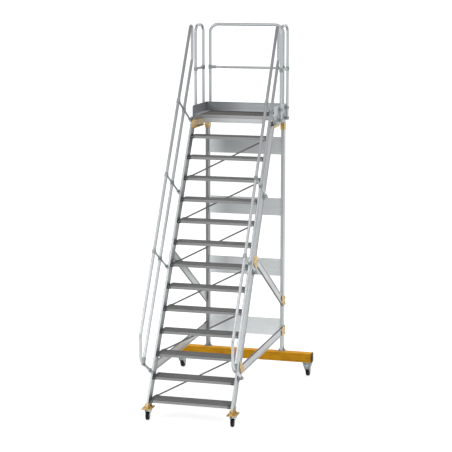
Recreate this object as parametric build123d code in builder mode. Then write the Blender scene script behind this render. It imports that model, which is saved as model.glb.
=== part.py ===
"""Rolling warehouse ladder: thirteen treads up to a guarded platform, on four swivel castors.

Millimetres. +X is to the right of somebody climbing, +Y is the way they climb, +Z is up.
The floor is Z = 0, and the origin lies midway between the ladder's sides and its two ends.
"""

import os
from math import atan2, cos, radians, sin, sqrt, tan

from build123d import *

os.makedirs("parts", exist_ok=True)

# Stair
RISE = 240.0
GOING = 139.0
TREADS = 13
SLOPE = atan2(RISE, GOING)
STEP = sqrt(RISE**2 + GOING**2)
FIRST_NOSE_Y = -1171.0
FIRST_TREAD_Z = 240.0
TREAD_DEPTH = 206.0
TREAD_HEIGHT = 34.0
CLEAR_WIDTH = 984.0
END_BLOCK = 45.0

# Stringers, posts and braces are the same kind of hollow aluminium profile
STRINGER_THICKNESS = 25.0
STRINGER_DEPTH = 118.0
STRINGER_FRONT = 14.0
POST_WIDTH = 37.0
POST_DEPTH = 88.0
POST_OUTER_X = 510.0
POST_FRONT_Y = FIRST_NOSE_Y + 2364.0
BRACE_THICKNESS = 25.0
BRACE_DEPTH = 100.0
BRACE_CHANNEL = 5.5
WALL = 2.5

# Platform
DECK_Z = FIRST_TREAD_Z + TREADS * RISE
DECK_FRONT_Y = FIRST_NOSE_Y + 1830.0
DECK_DEPTH = 600.0
DECK_REAR_Y = DECK_FRONT_Y + DECK_DEPTH
RAIL_THICKNESS = 25.0
RAIL_OUTER_X = 518.0
RAIL_BOTTOM_Z = DECK_Z - 105.0
TOE_HEIGHT = 112.0

# Rails and guards
TUBE = 35.0
TUBE_WALL = 2.0
GUARD_TOP_Z = DECK_Z + 1100.0 - TUBE / 2
GUARD_MID_Z = DECK_Z + 548.0
GUARD_FOOT_Z = DECK_Z - 88.0
GUARD_BEND = 105.0
SIDE_X = 545.0
SIDE_GUARD_Y = (FIRST_NOSE_Y + 2058.0, FIRST_NOSE_Y + 2390.0)
REAR_GUARD_X = 473.0
REAR_GUARD_Y = DECK_REAR_Y + 25.0
HANDRAIL_UP = 505.0
KNEE_RAIL_UP = 250.0
HANDRAIL_BAR_Y = FIRST_NOSE_Y + 1915.0
HANDRAIL_FRONT_Y = FIRST_NOSE_Y - 131.0
HANDRAIL_FOOT_ALONG = 355.0
STANCHION = 25.0
STANCHIONS_ALONG = (1635.0, 2595.0, 3555.0)

# Crossbeam and castors
BEAM_HALF = 900.0
BEAM_FRONT_Y = FIRST_NOSE_Y + 2318.0
BEAM_DEPTH = 112.0
BEAM_TOP_Z = 306.0
BEAM_BOTTOM_Z = 190.0
FRONT_CASTOR = (508.0, FIRST_NOSE_Y + 30.0)
REAR_CASTOR = (836.0, BEAM_FRONT_Y + BEAM_DEPTH / 2)
FRONT_WHEEL_R = 50.0
FRONT_WHEEL_W = 32.0
FRONT_TRAIL = 32.0
FRONT_HEIGHT = 135.0
REAR_WHEEL_R = 75.0
REAR_WHEEL_W = 40.0
REAR_TRAIL = 42.0
REAR_HEIGHT = BEAM_BOTTOM_Z

INNER_X = CLEAR_WIDTH / 2
OUTER_X = INNER_X + STRINGER_THICKNESS
STRINGER_X = (INNER_X + OUTER_X) / 2


def nose_y(tread):
    """Y of the front edge of a tread, counted from 1."""
    return FIRST_NOSE_Y + (tread - 1) * GOING


def tread_z(tread):
    """Height of the walking surface of a tread."""
    return FIRST_TREAD_Z + (tread - 1) * RISE


def on_slope(along, up):
    """(Y, Z) of a point so far along the line of nosings, and so far square above it."""
    y = FIRST_NOSE_Y + along * cos(SLOPE) - up * sin(SLOPE)
    z = FIRST_TREAD_Z + along * sin(SLOPE) + up * cos(SLOPE)
    return (y, z)


def slope_plane(x, along, up):
    """Plane square to the slope: local X is to the right and local Y points down and back."""
    y, z = on_slope(along, up)
    return Plane(origin=(x, y, z), x_dir=(1, 0, 0), z_dir=(0, cos(SLOPE), sin(SLOPE)))


def line_plane(start, end, x_dir=(1, 0, 0)):
    """Plane square to a straight member that starts at `start` and runs to `end`."""
    return Plane(origin=start, x_dir=x_dir, z_dir=Vector(*end) - Vector(*start))


def profile(thickness, depth, channel=2.0):
    """Section of the hollow aluminium profile, with a channel down both broad faces."""
    with BuildSketch() as section:
        Rectangle(thickness, depth)
        with Locations(((thickness - channel) / 2, 0), ((channel - thickness) / 2, 0)):
            Rectangle(channel, depth - 34, mode=Mode.SUBTRACT)
        Rectangle(thickness - 2 * channel - 2 * WALL, depth - 2 * WALL - 4, mode=Mode.SUBTRACT)
    return section.sketch


def ring(outer, wall):
    """Section of a round tube."""
    with BuildSketch() as section:
        Circle(outer / 2)
        Circle(outer / 2 - wall, mode=Mode.SUBTRACT)
    return section.sketch


def tube(start, end, outer=TUBE, wall=TUBE_WALL):
    """Straight round tube between two points."""
    with BuildPart() as straight:
        with BuildSketch(line_plane(start, end, None)):
            add(ring(outer, wall))
        extrude(amount=(Vector(*end) - Vector(*start)).length)
    return straight.part


def bend_arcs(bend_start, centre, turn, across, outer, wall):
    """A bend as equal arcs of about 30 degrees, so that each is close to straight."""
    count = round(turn / 30)
    arcs = []
    for number in range(count):
        angles = [turn * (number + part) / count for part in (0, 0.5, 1)]
        first, middle, last = (centre + (bend_start - centre).rotate(across, a) for a in angles)
        ahead = across.direction.cross(first - centre)
        with BuildPart() as arc:
            with BuildLine() as path:
                ThreePointArc(first, middle, last)
            with BuildSketch(Plane(origin=first, z_dir=ahead)):
                add(ring(outer, wall))
            sweep(path=path.line)
        arcs.append(arc.part)
    return arcs


def tube_run(points, radii, outer=TUBE, wall=TUBE_WALL):
    """A bent tube as its straight runs and the arcs of its bends, which meet face to face."""
    corners = [Vector(*p) for p in points]
    pieces = []
    start = corners[0]
    for before, corner, after, radius in zip(corners, corners[1:], corners[2:], radii):
        back = (before - corner).normalized()
        ahead = (after - corner).normalized()
        turn = 180 - back.get_angle(ahead)
        reach = radius * tan(radians(turn) / 2)
        bend_start = corner + back * reach
        bend_end = corner + ahead * reach
        centre = corner + (back + ahead).normalized() * (radius / cos(radians(turn) / 2))
        across = Axis((0, 0, 0), (bend_start - centre).cross(bend_end - centre))
        pieces.append(tube(start, bend_start, outer, wall))
        pieces += bend_arcs(bend_start, centre, turn, across, outer, wall)
        start = bend_end
    pieces.append(tube(start, corners[-1], outer, wall))
    return pieces


def bolt_head(x, y, z, direction, across=13.0, height=6.0):
    """Hexagon head that stands on a face at (x, y, z) and points along `direction`."""
    with BuildPart() as head:
        with BuildSketch(Plane(origin=(x, y, z), z_dir=direction)):
            RegularPolygon(across / 2, 6, major_radius=False)
        extrude(amount=height)
    return head.part


def both_sides(pieces):
    """The pieces of the right-hand side, followed by their mirror images."""
    return list(pieces) + [piece.mirror(Plane.YZ) for piece in pieces]


def save(part, name):
    """Labels a part with its node's name and writes it."""
    part.label = name
    export_step(part, f"parts/{name}.step")


# Stringers -----------------------------------------------------------------------------------

STRINGER_MID_UP = STRINGER_FRONT - STRINGER_DEPTH / 2
FOOT_PLATE_TOP_Z = FRONT_HEIGHT + 12.0

with BuildPart() as stringer_right:
    with BuildSketch(slope_plane(STRINGER_X, -300, STRINGER_MID_UP)):
        add(profile(STRINGER_THICKNESS, STRINGER_DEPTH))
    extrude(amount=4200)
    split(bisect_by=Plane.XY.offset(FOOT_PLATE_TOP_Z), keep=Keep.TOP)
    split(bisect_by=Plane.XY.offset(RAIL_BOTTOM_Z), keep=Keep.BOTTOM)

with BuildPart() as stringer_left:
    mirror(stringer_right.part, about=Plane.YZ)

save(stringer_right.part, "stringer_right")
save(stringer_left.part, "stringer_left")

# Treads --------------------------------------------------------------------------------------

ROD = 16.0
LUG_X = INNER_X - 18
LUG_REAR = TREAD_DEPTH + 8.0
EYE_DEPTH = 30.0
EYE_UP = -13.0

TREAD_HALF = INNER_X - END_BLOCK
RIBS = 12
RIB_PITCH = (TREAD_DEPTH - 26) / RIBS


def tread(number):
    """Ribbed tread extrusion with a deep front lip and a rear lip, open underneath."""
    with BuildPart() as body:
        with BuildSketch(Plane.YZ.offset(-TREAD_HALF)):
            with Locations((nose_y(number), tread_z(number))):
                Rectangle(TREAD_DEPTH, TREAD_HEIGHT, align=(Align.MIN, Align.MAX))
            with Locations((nose_y(number) + 3, tread_z(number) - 6)):
                Rectangle(TREAD_DEPTH - 6, TREAD_HEIGHT, align=(Align.MIN, Align.MAX), mode=Mode.SUBTRACT)
            for rib in range(RIBS):
                with Locations((nose_y(number) + 18 + rib * RIB_PITCH, tread_z(number))):
                    Rectangle(RIB_PITCH / 2, 2.4, align=(Align.MIN, Align.MAX), mode=Mode.SUBTRACT)
            for stiffener in (0.34, 0.67):
                with Locations((nose_y(number) + stiffener * TREAD_DEPTH, tread_z(number) - 3)):
                    Rectangle(3, TREAD_HEIGHT - 9, align=(Align.CENTER, Align.MAX))
        extrude(amount=2 * TREAD_HALF)
    return body.part


for number in range(1, TREADS + 1):
    save(tread(number), f"tread_{number:02d}")

with BuildPart() as tread_ends:
    for number in range(1, TREADS + 1):
        for side in (-1, 1):
            middle = Vector(side * (INNER_X - END_BLOCK / 2), nose_y(number), tread_z(number))
            with Locations(Location(middle)):
                Box(END_BLOCK, TREAD_DEPTH, TREAD_HEIGHT + 2, align=(Align.CENTER, Align.MIN, Align.MAX))
            with Locations(Location(middle + Vector(0, 10, -8))):
                Box(
                    END_BLOCK - 8,
                    TREAD_DEPTH - 20,
                    TREAD_HEIGHT,
                    align=(Align.CENTER, Align.MIN, Align.MAX),
                    mode=Mode.SUBTRACT,
                )
            # The lugs of the tie rods are cast on every second pair of blocks
            if number % 2 == 1 and (number, side) not in ((1, 1), (TREADS, -1)):
                with Locations((side * LUG_X, nose_y(number) + TREAD_DEPTH, tread_z(number) + EYE_UP)):
                    Box(30, LUG_REAR - TREAD_DEPTH, 30, align=(Align.CENTER, Align.MIN, Align.CENTER))

save(tread_ends.part, "tread_ends")

# Diagonal tie rods behind the treads ---------------------------------------------------------

with BuildPart() as tie_rods:
    for number in range(1, TREADS - 1, 2):
        eye_back = LUG_REAR + EYE_DEPTH / 2
        low = Vector(-LUG_X, nose_y(number) + eye_back, tread_z(number) + EYE_UP)
        high = Vector(LUG_X, nose_y(number + 2) + eye_back, tread_z(number + 2) + EYE_UP)
        with BuildSketch(line_plane(low, high, None)):
            Circle(ROD / 2)
        extrude(amount=(high - low).length)
        for eye in (low, high):
            with BuildSketch(Plane(origin=eye - Vector(0, EYE_DEPTH / 2, 0), z_dir=(0, 1, 0))):
                Circle(14)
            extrude(amount=EYE_DEPTH)

save(tie_rods.part, "tie_rods")

# Stair handrails -----------------------------------------------------------------------------


def slope_at_y(y, up):
    """Distance along the nosings at which a line `up` above them reaches a given Y."""
    return (y - FIRST_NOSE_Y + up * sin(SLOPE)) / cos(SLOPE)


def side_point(along, up, x=SIDE_X):
    """Point of the right-hand rail plane, by its distances along and above the nosings."""
    y, z = on_slope(along, up)
    return (x, y, z)


FOOT_KNEE_UP = (HANDRAIL_FOOT_ALONG * cos(SLOPE) - (HANDRAIL_FRONT_Y - FIRST_NOSE_Y)) / sin(SLOPE)
FOOT_END_UP = -88.0
RAIL_POINTS = (
    side_point(HANDRAIL_FOOT_ALONG, FOOT_END_UP),
    side_point(HANDRAIL_FOOT_ALONG, FOOT_KNEE_UP),
    side_point(slope_at_y(HANDRAIL_FRONT_Y, HANDRAIL_UP), HANDRAIL_UP),
    side_point(slope_at_y(HANDRAIL_BAR_Y, HANDRAIL_UP), HANDRAIL_UP),
    side_point(slope_at_y(HANDRAIL_BAR_Y, KNEE_RAIL_UP), KNEE_RAIL_UP),
    side_point(HANDRAIL_FOOT_ALONG + TUBE / 2 + 1, KNEE_RAIL_UP),
)
# The top bend is as wide as makes its highest point level with the guards
TOP_BEND = (RAIL_POINTS[3][2] - GUARD_TOP_Z) / (1 / tan((radians(90) - SLOPE) / 2) - 1)

handrail_pieces = tube_run(RAIL_POINTS, (110, 110, TOP_BEND, 70))
handrail_right = Compound(children=handrail_pieces)
handrail_left = Compound(children=[piece.mirror(Plane.YZ) for piece in handrail_pieces])
save(handrail_right, "handrail_right")
save(handrail_left, "handrail_left")

CLAMP = TUBE + 10.0
GRIP = 0.2
SOCKET = 22.0
STANCHION_END_UP = -86.0

stanchion_pieces = []
for along in STANCHIONS_ALONG:
    upper = (side_point(along, KNEE_RAIL_UP + CLAMP / 2), side_point(along, HANDRAIL_UP - CLAMP / 2))
    lower = (side_point(along, STANCHION_END_UP), side_point(along, KNEE_RAIL_UP - CLAMP / 2))
    stanchion_pieces.append(tube(upper[0], upper[1], STANCHION))
    stanchion_pieces.append(tube(lower[0], lower[1], STANCHION))
save(Compound(children=both_sides(stanchion_pieces)), "stanchions")


def rail_clamp(along, up):
    """Cast collar on a sloping rail, with sockets for the stanchion above and below it."""
    with BuildPart() as collar:
        with BuildSketch(slope_plane(SIDE_X, along - 24, up)):
            Circle(CLAMP / 2)
        extrude(amount=48)
        sides = (1, -1) if up < HANDRAIL_UP else (-1,)
        for side in sides:
            reach = CLAMP / 2 + SOCKET
            start = side_point(along, up)
            end = side_point(along, up + side * reach)
            with BuildSketch(line_plane(start, end, None)):
                Circle(STANCHION / 2 + 4)
            extrude(amount=reach)
            mouth = side_point(along, up + side * CLAMP / 2)
            with BuildSketch(line_plane(mouth, end, None)):
                Circle(STANCHION / 2 + GRIP)
            extrude(amount=SOCKET, mode=Mode.SUBTRACT)
        with BuildSketch(slope_plane(SIDE_X, along - 24, up)):
            Circle(TUBE / 2 + GRIP)
        extrude(amount=48, mode=Mode.SUBTRACT)
    return collar.part


def stringer_saddle(along, up, outer, face=OUTER_X):
    """Cast saddle that bolts a tube's lower end to the outside of the stringer."""
    start = side_point(along, up - 42, face)
    end = side_point(along, up + 42, face)
    with BuildPart() as saddle:
        with BuildSketch(line_plane(start, end)):
            with Locations((SIDE_X - face, 0)):
                Circle(outer / 2 + 5)
            with Locations(((SIDE_X - face) / 2, 0)):
                Rectangle(SIDE_X - face, outer + 10)
            with Locations((4, 0)):
                Rectangle(8, outer + 44)
            with Locations((SIDE_X - face, 0)):
                Circle(outer / 2 + GRIP, mode=Mode.SUBTRACT)
        extrude(amount=84)
    return saddle.part


clamp_pieces = []
for along in STANCHIONS_ALONG:
    clamp_pieces.append(rail_clamp(along, HANDRAIL_UP))
    clamp_pieces.append(rail_clamp(along, KNEE_RAIL_UP))
    face = RAIL_OUTER_X if along == STANCHIONS_ALONG[-1] else OUTER_X
    clamp_pieces.append(stringer_saddle(along, STANCHION_END_UP + 42, STANCHION, face))
clamp_pieces.append(stringer_saddle(HANDRAIL_FOOT_ALONG, FOOT_END_UP + 42, TUBE))

with BuildPart() as knee_end_clamp:
    foot_low = side_point(HANDRAIL_FOOT_ALONG, KNEE_RAIL_UP - 32)
    foot_high = side_point(HANDRAIL_FOOT_ALONG, KNEE_RAIL_UP + 32)
    with BuildSketch(line_plane(foot_low, foot_high)):
        Circle(CLAMP / 2)
    extrude(amount=64)
    with BuildSketch(slope_plane(SIDE_X, HANDRAIL_FOOT_ALONG, KNEE_RAIL_UP)):
        Circle(CLAMP / 2 - 1)
    extrude(amount=75)
    with BuildSketch(line_plane(foot_low, foot_high)):
        Circle(TUBE / 2 + GRIP)
    extrude(amount=64, mode=Mode.SUBTRACT)
    with BuildSketch(slope_plane(SIDE_X, HANDRAIL_FOOT_ALONG + TUBE / 2, KNEE_RAIL_UP)):
        Circle(TUBE / 2 + GRIP + 0.05)
    extrude(amount=75, mode=Mode.SUBTRACT)
clamp_pieces.append(knee_end_clamp.part)
save(Compound(children=both_sides(clamp_pieces)), "rail_clamps")

# Platform ------------------------------------------------------------------------------------

DECK_THICKNESS = 30.0
NOSING_HEIGHT = 35.0
NOSING_DEPTH = 40.0
RAIL_INNER_X = RAIL_OUTER_X - RAIL_THICKNESS
RAIL_MID_X = RAIL_OUTER_X - RAIL_THICKNESS / 2
DECK_RIBS = 26

with BuildPart() as deck:
    with BuildSketch(Plane.YZ.offset(-RAIL_INNER_X)):
        with Locations((DECK_FRONT_Y + NOSING_DEPTH, DECK_Z)):
            Rectangle(DECK_DEPTH - NOSING_DEPTH, DECK_THICKNESS, align=(Align.MIN, Align.MAX))
        with Locations((DECK_FRONT_Y + NOSING_DEPTH + 3, DECK_Z - 6)):
            Rectangle(
                DECK_DEPTH - NOSING_DEPTH - 6,
                DECK_THICKNESS,
                align=(Align.MIN, Align.MAX),
                mode=Mode.SUBTRACT,
            )
        for rib in range(DECK_RIBS):
            with Locations((DECK_FRONT_Y + NOSING_DEPTH + 8 + rib * 21, DECK_Z)):
                Rectangle(10, 2.4, align=(Align.MIN, Align.MAX), mode=Mode.SUBTRACT)
        for stiffener in range(1, 5):
            with Locations((DECK_FRONT_Y + NOSING_DEPTH + stiffener * 112, DECK_Z - 3)):
                Rectangle(4, DECK_THICKNESS - 3, align=(Align.CENTER, Align.MAX))
    extrude(amount=2 * RAIL_INNER_X)
save(deck.part, "deck")

with BuildPart() as front_nosing:
    with BuildSketch(Plane.YZ.offset(-RAIL_OUTER_X)):
        with Locations((DECK_FRONT_Y, DECK_Z)):
            Rectangle(NOSING_DEPTH, NOSING_HEIGHT, align=(Align.MIN, Align.MAX))
        with Locations((DECK_FRONT_Y + NOSING_DEPTH / 2, DECK_Z - NOSING_HEIGHT / 2)):
            Rectangle(NOSING_DEPTH - 6, NOSING_HEIGHT - 6, mode=Mode.SUBTRACT)
        for groove in range(3):
            with Locations((DECK_FRONT_Y + 8 + groove * 10, DECK_Z)):
                Rectangle(4, 1.5, align=(Align.MIN, Align.MAX), mode=Mode.SUBTRACT)
    extrude(amount=2 * RAIL_OUTER_X)
save(front_nosing.part, "front_nosing")

APRON_HALF = 373.0
APRON_BOTTOM_Z = DECK_Z - 88.0
APRON_HEIGHT = DECK_Z - NOSING_HEIGHT - APRON_BOTTOM_Z

with BuildPart() as front_apron:
    with BuildSketch(Plane.YZ.offset(-APRON_HALF)):
        with Locations((DECK_FRONT_Y, APRON_BOTTOM_Z)):
            Rectangle(34, APRON_HEIGHT, align=(Align.MIN, Align.MIN))
        with Locations((DECK_FRONT_Y + 3, APRON_BOTTOM_Z + 3)):
            Rectangle(28, APRON_HEIGHT - 6, align=(Align.MIN, Align.MIN), mode=Mode.SUBTRACT)
    extrude(amount=2 * APRON_HALF)
save(front_apron.part, "front_apron")

with BuildPart() as side_rails:
    for side in (-1, 1):
        with BuildSketch(Plane.XZ.offset(-DECK_FRONT_Y - NOSING_DEPTH)):
            with Locations((side * RAIL_MID_X, (DECK_Z + RAIL_BOTTOM_Z) / 2)):
                Rectangle(RAIL_THICKNESS, DECK_Z - RAIL_BOTTOM_Z)
                Rectangle(RAIL_THICKNESS - 6, DECK_Z - RAIL_BOTTOM_Z - 6, mode=Mode.SUBTRACT)
        extrude(amount=-(DECK_DEPTH - NOSING_DEPTH))
        with Locations((side * RAIL_MID_X, DECK_FRONT_Y, RAIL_BOTTOM_Z)):
            Box(
                RAIL_THICKNESS,
                NOSING_DEPTH,
                DECK_Z - NOSING_HEIGHT - RAIL_BOTTOM_Z,
                align=(Align.CENTER, Align.MIN, Align.MIN),
            )

with BuildPart() as rear_rail:
    with BuildSketch(Plane.YZ.offset(-RAIL_INNER_X)):
        with Locations((DECK_REAR_Y - 15, DECK_Z - DECK_THICKNESS - 37.5)):
            Rectangle(30, 75)
            Rectangle(24, 69, mode=Mode.SUBTRACT)
    extrude(amount=2 * RAIL_INNER_X)
save(Compound(children=[*side_rails.part.solids(), *rear_rail.part.solids()]), "platform_rails")

TOE_SHEET = 3.0
LEDGE = 68.0

with BuildPart() as side_boards:
    for side in (-1, 1):
        with Locations((side * (RAIL_OUTER_X - TOE_SHEET / 2), DECK_FRONT_Y, DECK_Z)):
            Box(TOE_SHEET, DECK_DEPTH, TOE_HEIGHT, align=(Align.CENTER, Align.MIN, Align.MIN))
        with Locations((side * (RAIL_OUTER_X - 5), DECK_FRONT_Y + 30, DECK_Z + TOE_HEIGHT - TOE_SHEET)):
            Box(10, DECK_DEPTH - 40, TOE_SHEET, align=(Align.CENTER, Align.MIN, Align.MIN))
    front_edges = side_boards.edges().filter_by(Axis.X).group_by(Axis.Y)[0]
    fillet(front_edges.filter_by(lambda edge: edge.center().Z > DECK_Z + 1), radius=24)

with BuildPart() as rear_board:
    with Locations((0, DECK_REAR_Y, DECK_Z)):
        Box(
            2 * (RAIL_OUTER_X - TOE_SHEET),
            TOE_SHEET,
            TOE_HEIGHT,
            align=(Align.CENTER, Align.MAX, Align.MIN),
        )
    with Locations((0, DECK_REAR_Y, DECK_Z + TOE_HEIGHT - TOE_SHEET)):
        Box(2 * RAIL_OUTER_X - 20, 10, TOE_SHEET, align=(Align.CENTER, Align.MAX, Align.MIN))

# Flat ledges along the foot of the toe boards, screwed down on the deck
with BuildPart() as ledges:
    for side in (-1, 1):
        with Locations((side * (RAIL_OUTER_X - TOE_SHEET), DECK_FRONT_Y + 6, DECK_Z)):
            Box(
                LEDGE,
                DECK_DEPTH - 6 - TOE_SHEET,
                TOE_SHEET,
                align=(Align.MAX if side > 0 else Align.MIN, Align.MIN, Align.MIN),
            )
    with Locations((0, DECK_REAR_Y - TOE_SHEET, DECK_Z)):
        Box(
            2 * (RAIL_OUTER_X - TOE_SHEET - LEDGE),
            15,
            TOE_SHEET,
            align=(Align.CENTER, Align.MAX, Align.MIN),
        )
boards = [side_boards.part, rear_board.part, ledges.part]
save(Compound(children=[solid for board in boards for solid in board.solids()]), "toe_boards")

# Guards round the platform -------------------------------------------------------------------

front_leg, rear_leg = SIDE_GUARD_Y
side_guard_points = (
    (SIDE_X, front_leg, GUARD_FOOT_Z),
    (SIDE_X, front_leg, GUARD_TOP_Z),
    (SIDE_X, rear_leg, GUARD_TOP_Z),
    (SIDE_X, rear_leg, GUARD_FOOT_Z),
)
side_guard_pieces = tube_run(side_guard_points, (GUARD_BEND, GUARD_BEND))
save(Compound(children=side_guard_pieces), "side_guard_right")
save(Compound(children=[piece.mirror(Plane.YZ) for piece in side_guard_pieces]), "side_guard_left")

rear_guard_points = (
    (-REAR_GUARD_X, REAR_GUARD_Y, GUARD_FOOT_Z),
    (-REAR_GUARD_X, REAR_GUARD_Y, GUARD_TOP_Z),
    (REAR_GUARD_X, REAR_GUARD_Y, GUARD_TOP_Z),
    (REAR_GUARD_X, REAR_GUARD_Y, GUARD_FOOT_Z),
)
save(Compound(children=tube_run(rear_guard_points, (GUARD_BEND, GUARD_BEND))), "rear_guard")

MID_TUBE = 30.0
MID_GAP = CLAMP / 2

side_mid_rail = tube(
    (SIDE_X, front_leg + MID_GAP, GUARD_MID_Z),
    (SIDE_X, rear_leg - MID_GAP, GUARD_MID_Z),
    MID_TUBE,
)
rear_mid_rail = tube(
    (MID_GAP - REAR_GUARD_X, REAR_GUARD_Y, GUARD_MID_Z),
    (REAR_GUARD_X - MID_GAP, REAR_GUARD_Y, GUARD_MID_Z),
    MID_TUBE,
)
save(Compound(children=[*both_sides([side_mid_rail]), rear_mid_rail]), "guard_mid_rails")


def mid_clamp(x, y, towards, length):
    """Collar on a guard's leg with a socket for the mid rail."""
    centre = Vector(x, y, GUARD_MID_Z)
    direction = Vector(*towards)
    with BuildPart() as collar:
        with BuildSketch(Plane.XY.offset(GUARD_MID_Z - 24)):
            with Locations((x, y)):
                Circle(CLAMP / 2)
        extrude(amount=48)
        with BuildSketch(Plane(origin=centre, z_dir=direction)):
            Circle(MID_TUBE / 2 + 4)
        extrude(amount=MID_GAP + length)
        with BuildSketch(Plane(origin=centre + direction * MID_GAP, z_dir=direction)):
            Circle(MID_TUBE / 2 + GRIP)
        extrude(amount=length, mode=Mode.SUBTRACT)
        with BuildSketch(Plane.XY.offset(GUARD_MID_Z - 24)):
            with Locations((x, y)):
                Circle(TUBE / 2 + GRIP)
        extrude(amount=48, mode=Mode.SUBTRACT)
    return collar.part


mid_clamps = both_sides(
    [
        mid_clamp(SIDE_X, front_leg, (0, 1, 0), 28),
        mid_clamp(SIDE_X, rear_leg, (0, -1, 0), 28),
        mid_clamp(REAR_GUARD_X, REAR_GUARD_Y, (-1, 0, 0), 50),
    ]
)
save(Compound(children=mid_clamps), "guard_mid_clamps")


def leg_bracket(x, y, z, outward, face):
    """Saddle round a guard's leg, screwed to the face of the platform at `face`."""
    across = Vector(*outward)
    gap = abs((x if outward[0] else y) - face)
    with BuildPart() as saddle:
        with BuildSketch(Plane(origin=(x, y, z), x_dir=across, z_dir=(0, 0, 1))):
            Circle(TUBE / 2 + 5)
            with Locations((-gap / 2, 0)):
                Rectangle(gap, TUBE + 10)
            with Locations((3 - gap, 0)):
                Rectangle(6, TUBE + 50)
            Circle(TUBE / 2 + GRIP, mode=Mode.SUBTRACT)
        extrude(amount=34)
    return saddle.part


LEG_BRACKET_Z = (RAIL_BOTTOM_Z + 24, DECK_Z + 48)
leg_brackets = []
for height in LEG_BRACKET_Z:
    for leg in SIDE_GUARD_Y:
        leg_brackets.append(leg_bracket(SIDE_X, leg, height, (1, 0, 0), RAIL_OUTER_X))
    leg_brackets.append(leg_bracket(REAR_GUARD_X, REAR_GUARD_Y, height, (0, 1, 0), DECK_REAR_Y))
save(Compound(children=both_sides(leg_brackets)), "guard_leg_brackets")

# Rear frame ----------------------------------------------------------------------------------

POST_MID_X = POST_OUTER_X - POST_WIDTH / 2
POST_MID_Y = POST_FRONT_Y + POST_DEPTH / 2
POST_INNER_X = POST_OUTER_X - POST_WIDTH

with BuildPart() as rear_posts:
    for side in (-1, 1):
        with BuildSketch(Plane.XY.offset(BEAM_TOP_Z + 8)):
            with Locations((side * POST_MID_X, POST_MID_Y)):
                add(profile(POST_WIDTH, POST_DEPTH))
        extrude(amount=RAIL_BOTTOM_Z - BEAM_TOP_Z - 8)
save(rear_posts.part, "rear_posts")

with BuildPart() as post_feet:
    for side in (-1, 1):
        with Locations((side * POST_MID_X, POST_MID_Y - 6, BEAM_TOP_Z)):
            Box(POST_WIDTH + 56, POST_DEPTH - 8, 8, align=(Align.CENTER, Align.CENTER, Align.MIN))
        for flank in (-1, 1):
            with BuildSketch(Plane.XZ.offset(-POST_MID_Y - 4)):
                edge = side * POST_MID_X + flank * POST_WIDTH / 2
                with BuildLine():
                    Polyline(
                        (edge, BEAM_TOP_Z + 8),
                        (edge + flank * 24, BEAM_TOP_Z + 8),
                        (edge, BEAM_TOP_Z + 62),
                        close=True,
                    )
                make_face()
            extrude(amount=8)
save(post_feet.part, "post_feet")

PANEL_HEIGHT = 219.0
PANEL_TOPS = (3051.0, 2276.0, 1500.0, 724.0)
PANEL_SHEET = 2.0

with BuildPart() as rear_panels:
    for top in PANEL_TOPS:
        with Locations((0, POST_FRONT_Y + 20, top)):
            Box(2 * POST_INNER_X, 24, PANEL_HEIGHT, align=(Align.CENTER, Align.MIN, Align.MAX))
        with Locations((0, POST_FRONT_Y + 20 + PANEL_SHEET, top - PANEL_SHEET)):
            Box(
                2 * POST_INNER_X - 2 * PANEL_SHEET,
                24,
                PANEL_HEIGHT - 2 * PANEL_SHEET,
                align=(Align.CENTER, Align.MIN, Align.MAX),
                mode=Mode.SUBTRACT,
            )
save(rear_panels.part, "rear_panels")

# Cast platform brackets, at the tops of the stringers and of the rear posts
PLATE = 8.0
COLLAR_TOP_Z = RAIL_BOTTOM_Z - 26.0
COLLAR_HEIGHT = 79.0

with BuildPart() as platform_brackets:
    for side in (-1, 1):
        with BuildSketch(Plane.YZ.offset(side * (INNER_X - PLATE / 2) - PLATE / 2)):
            with BuildLine():
                Polyline(
                    (FIRST_NOSE_Y + 1716, DECK_Z - 156),
                    (FIRST_NOSE_Y + 2189, DECK_Z - 152),
                    (FIRST_NOSE_Y + 2254, DECK_Z - 129),
                    (FIRST_NOSE_Y + 2226, DECK_Z - 73),
                    (FIRST_NOSE_Y + 1750, DECK_Z - 52),
                    (FIRST_NOSE_Y + 1690, DECK_Z - 84),
                    close=True,
                )
            make_face()
        extrude(amount=PLATE)
        with Locations((side * (INNER_X - PLATE), FIRST_NOSE_Y + 1760, DECK_Z - 156)):
            inward = Align.MAX if side > 0 else Align.MIN
            Box(26, 400, 6, align=(inward, Align.MIN, Align.MIN))
        # Collars round the tops of the rear posts
        for x_flank in (POST_WIDTH / 2 + 3, -POST_WIDTH / 2 - 3):
            with Locations((side * POST_MID_X + x_flank, POST_MID_Y, COLLAR_TOP_Z)):
                Box(6, POST_DEPTH + 12, COLLAR_HEIGHT, align=(Align.CENTER, Align.CENTER, Align.MAX))
        for y_flank in (POST_DEPTH / 2 + 3, -POST_DEPTH / 2 - 3):
            with Locations((side * POST_MID_X, POST_MID_Y + y_flank, COLLAR_TOP_Z)):
                Box(POST_WIDTH, 6, COLLAR_HEIGHT, align=(Align.CENTER, Align.CENTER, Align.MAX))
save(platform_brackets.part, "platform_brackets")

# Side braces ---------------------------------------------------------------------------------

BRACE_X = INNER_X + BRACE_THICKNESS / 2
UPPER_LOW = (FIRST_NOSE_Y + 2411, 929.0)
UPPER_HIGH = (FIRST_NOSE_Y + 1085, 1710.0)
LOWER_Z = 573.0
STRINGER_REAR_UP = STRINGER_FRONT - STRINGER_DEPTH

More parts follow.
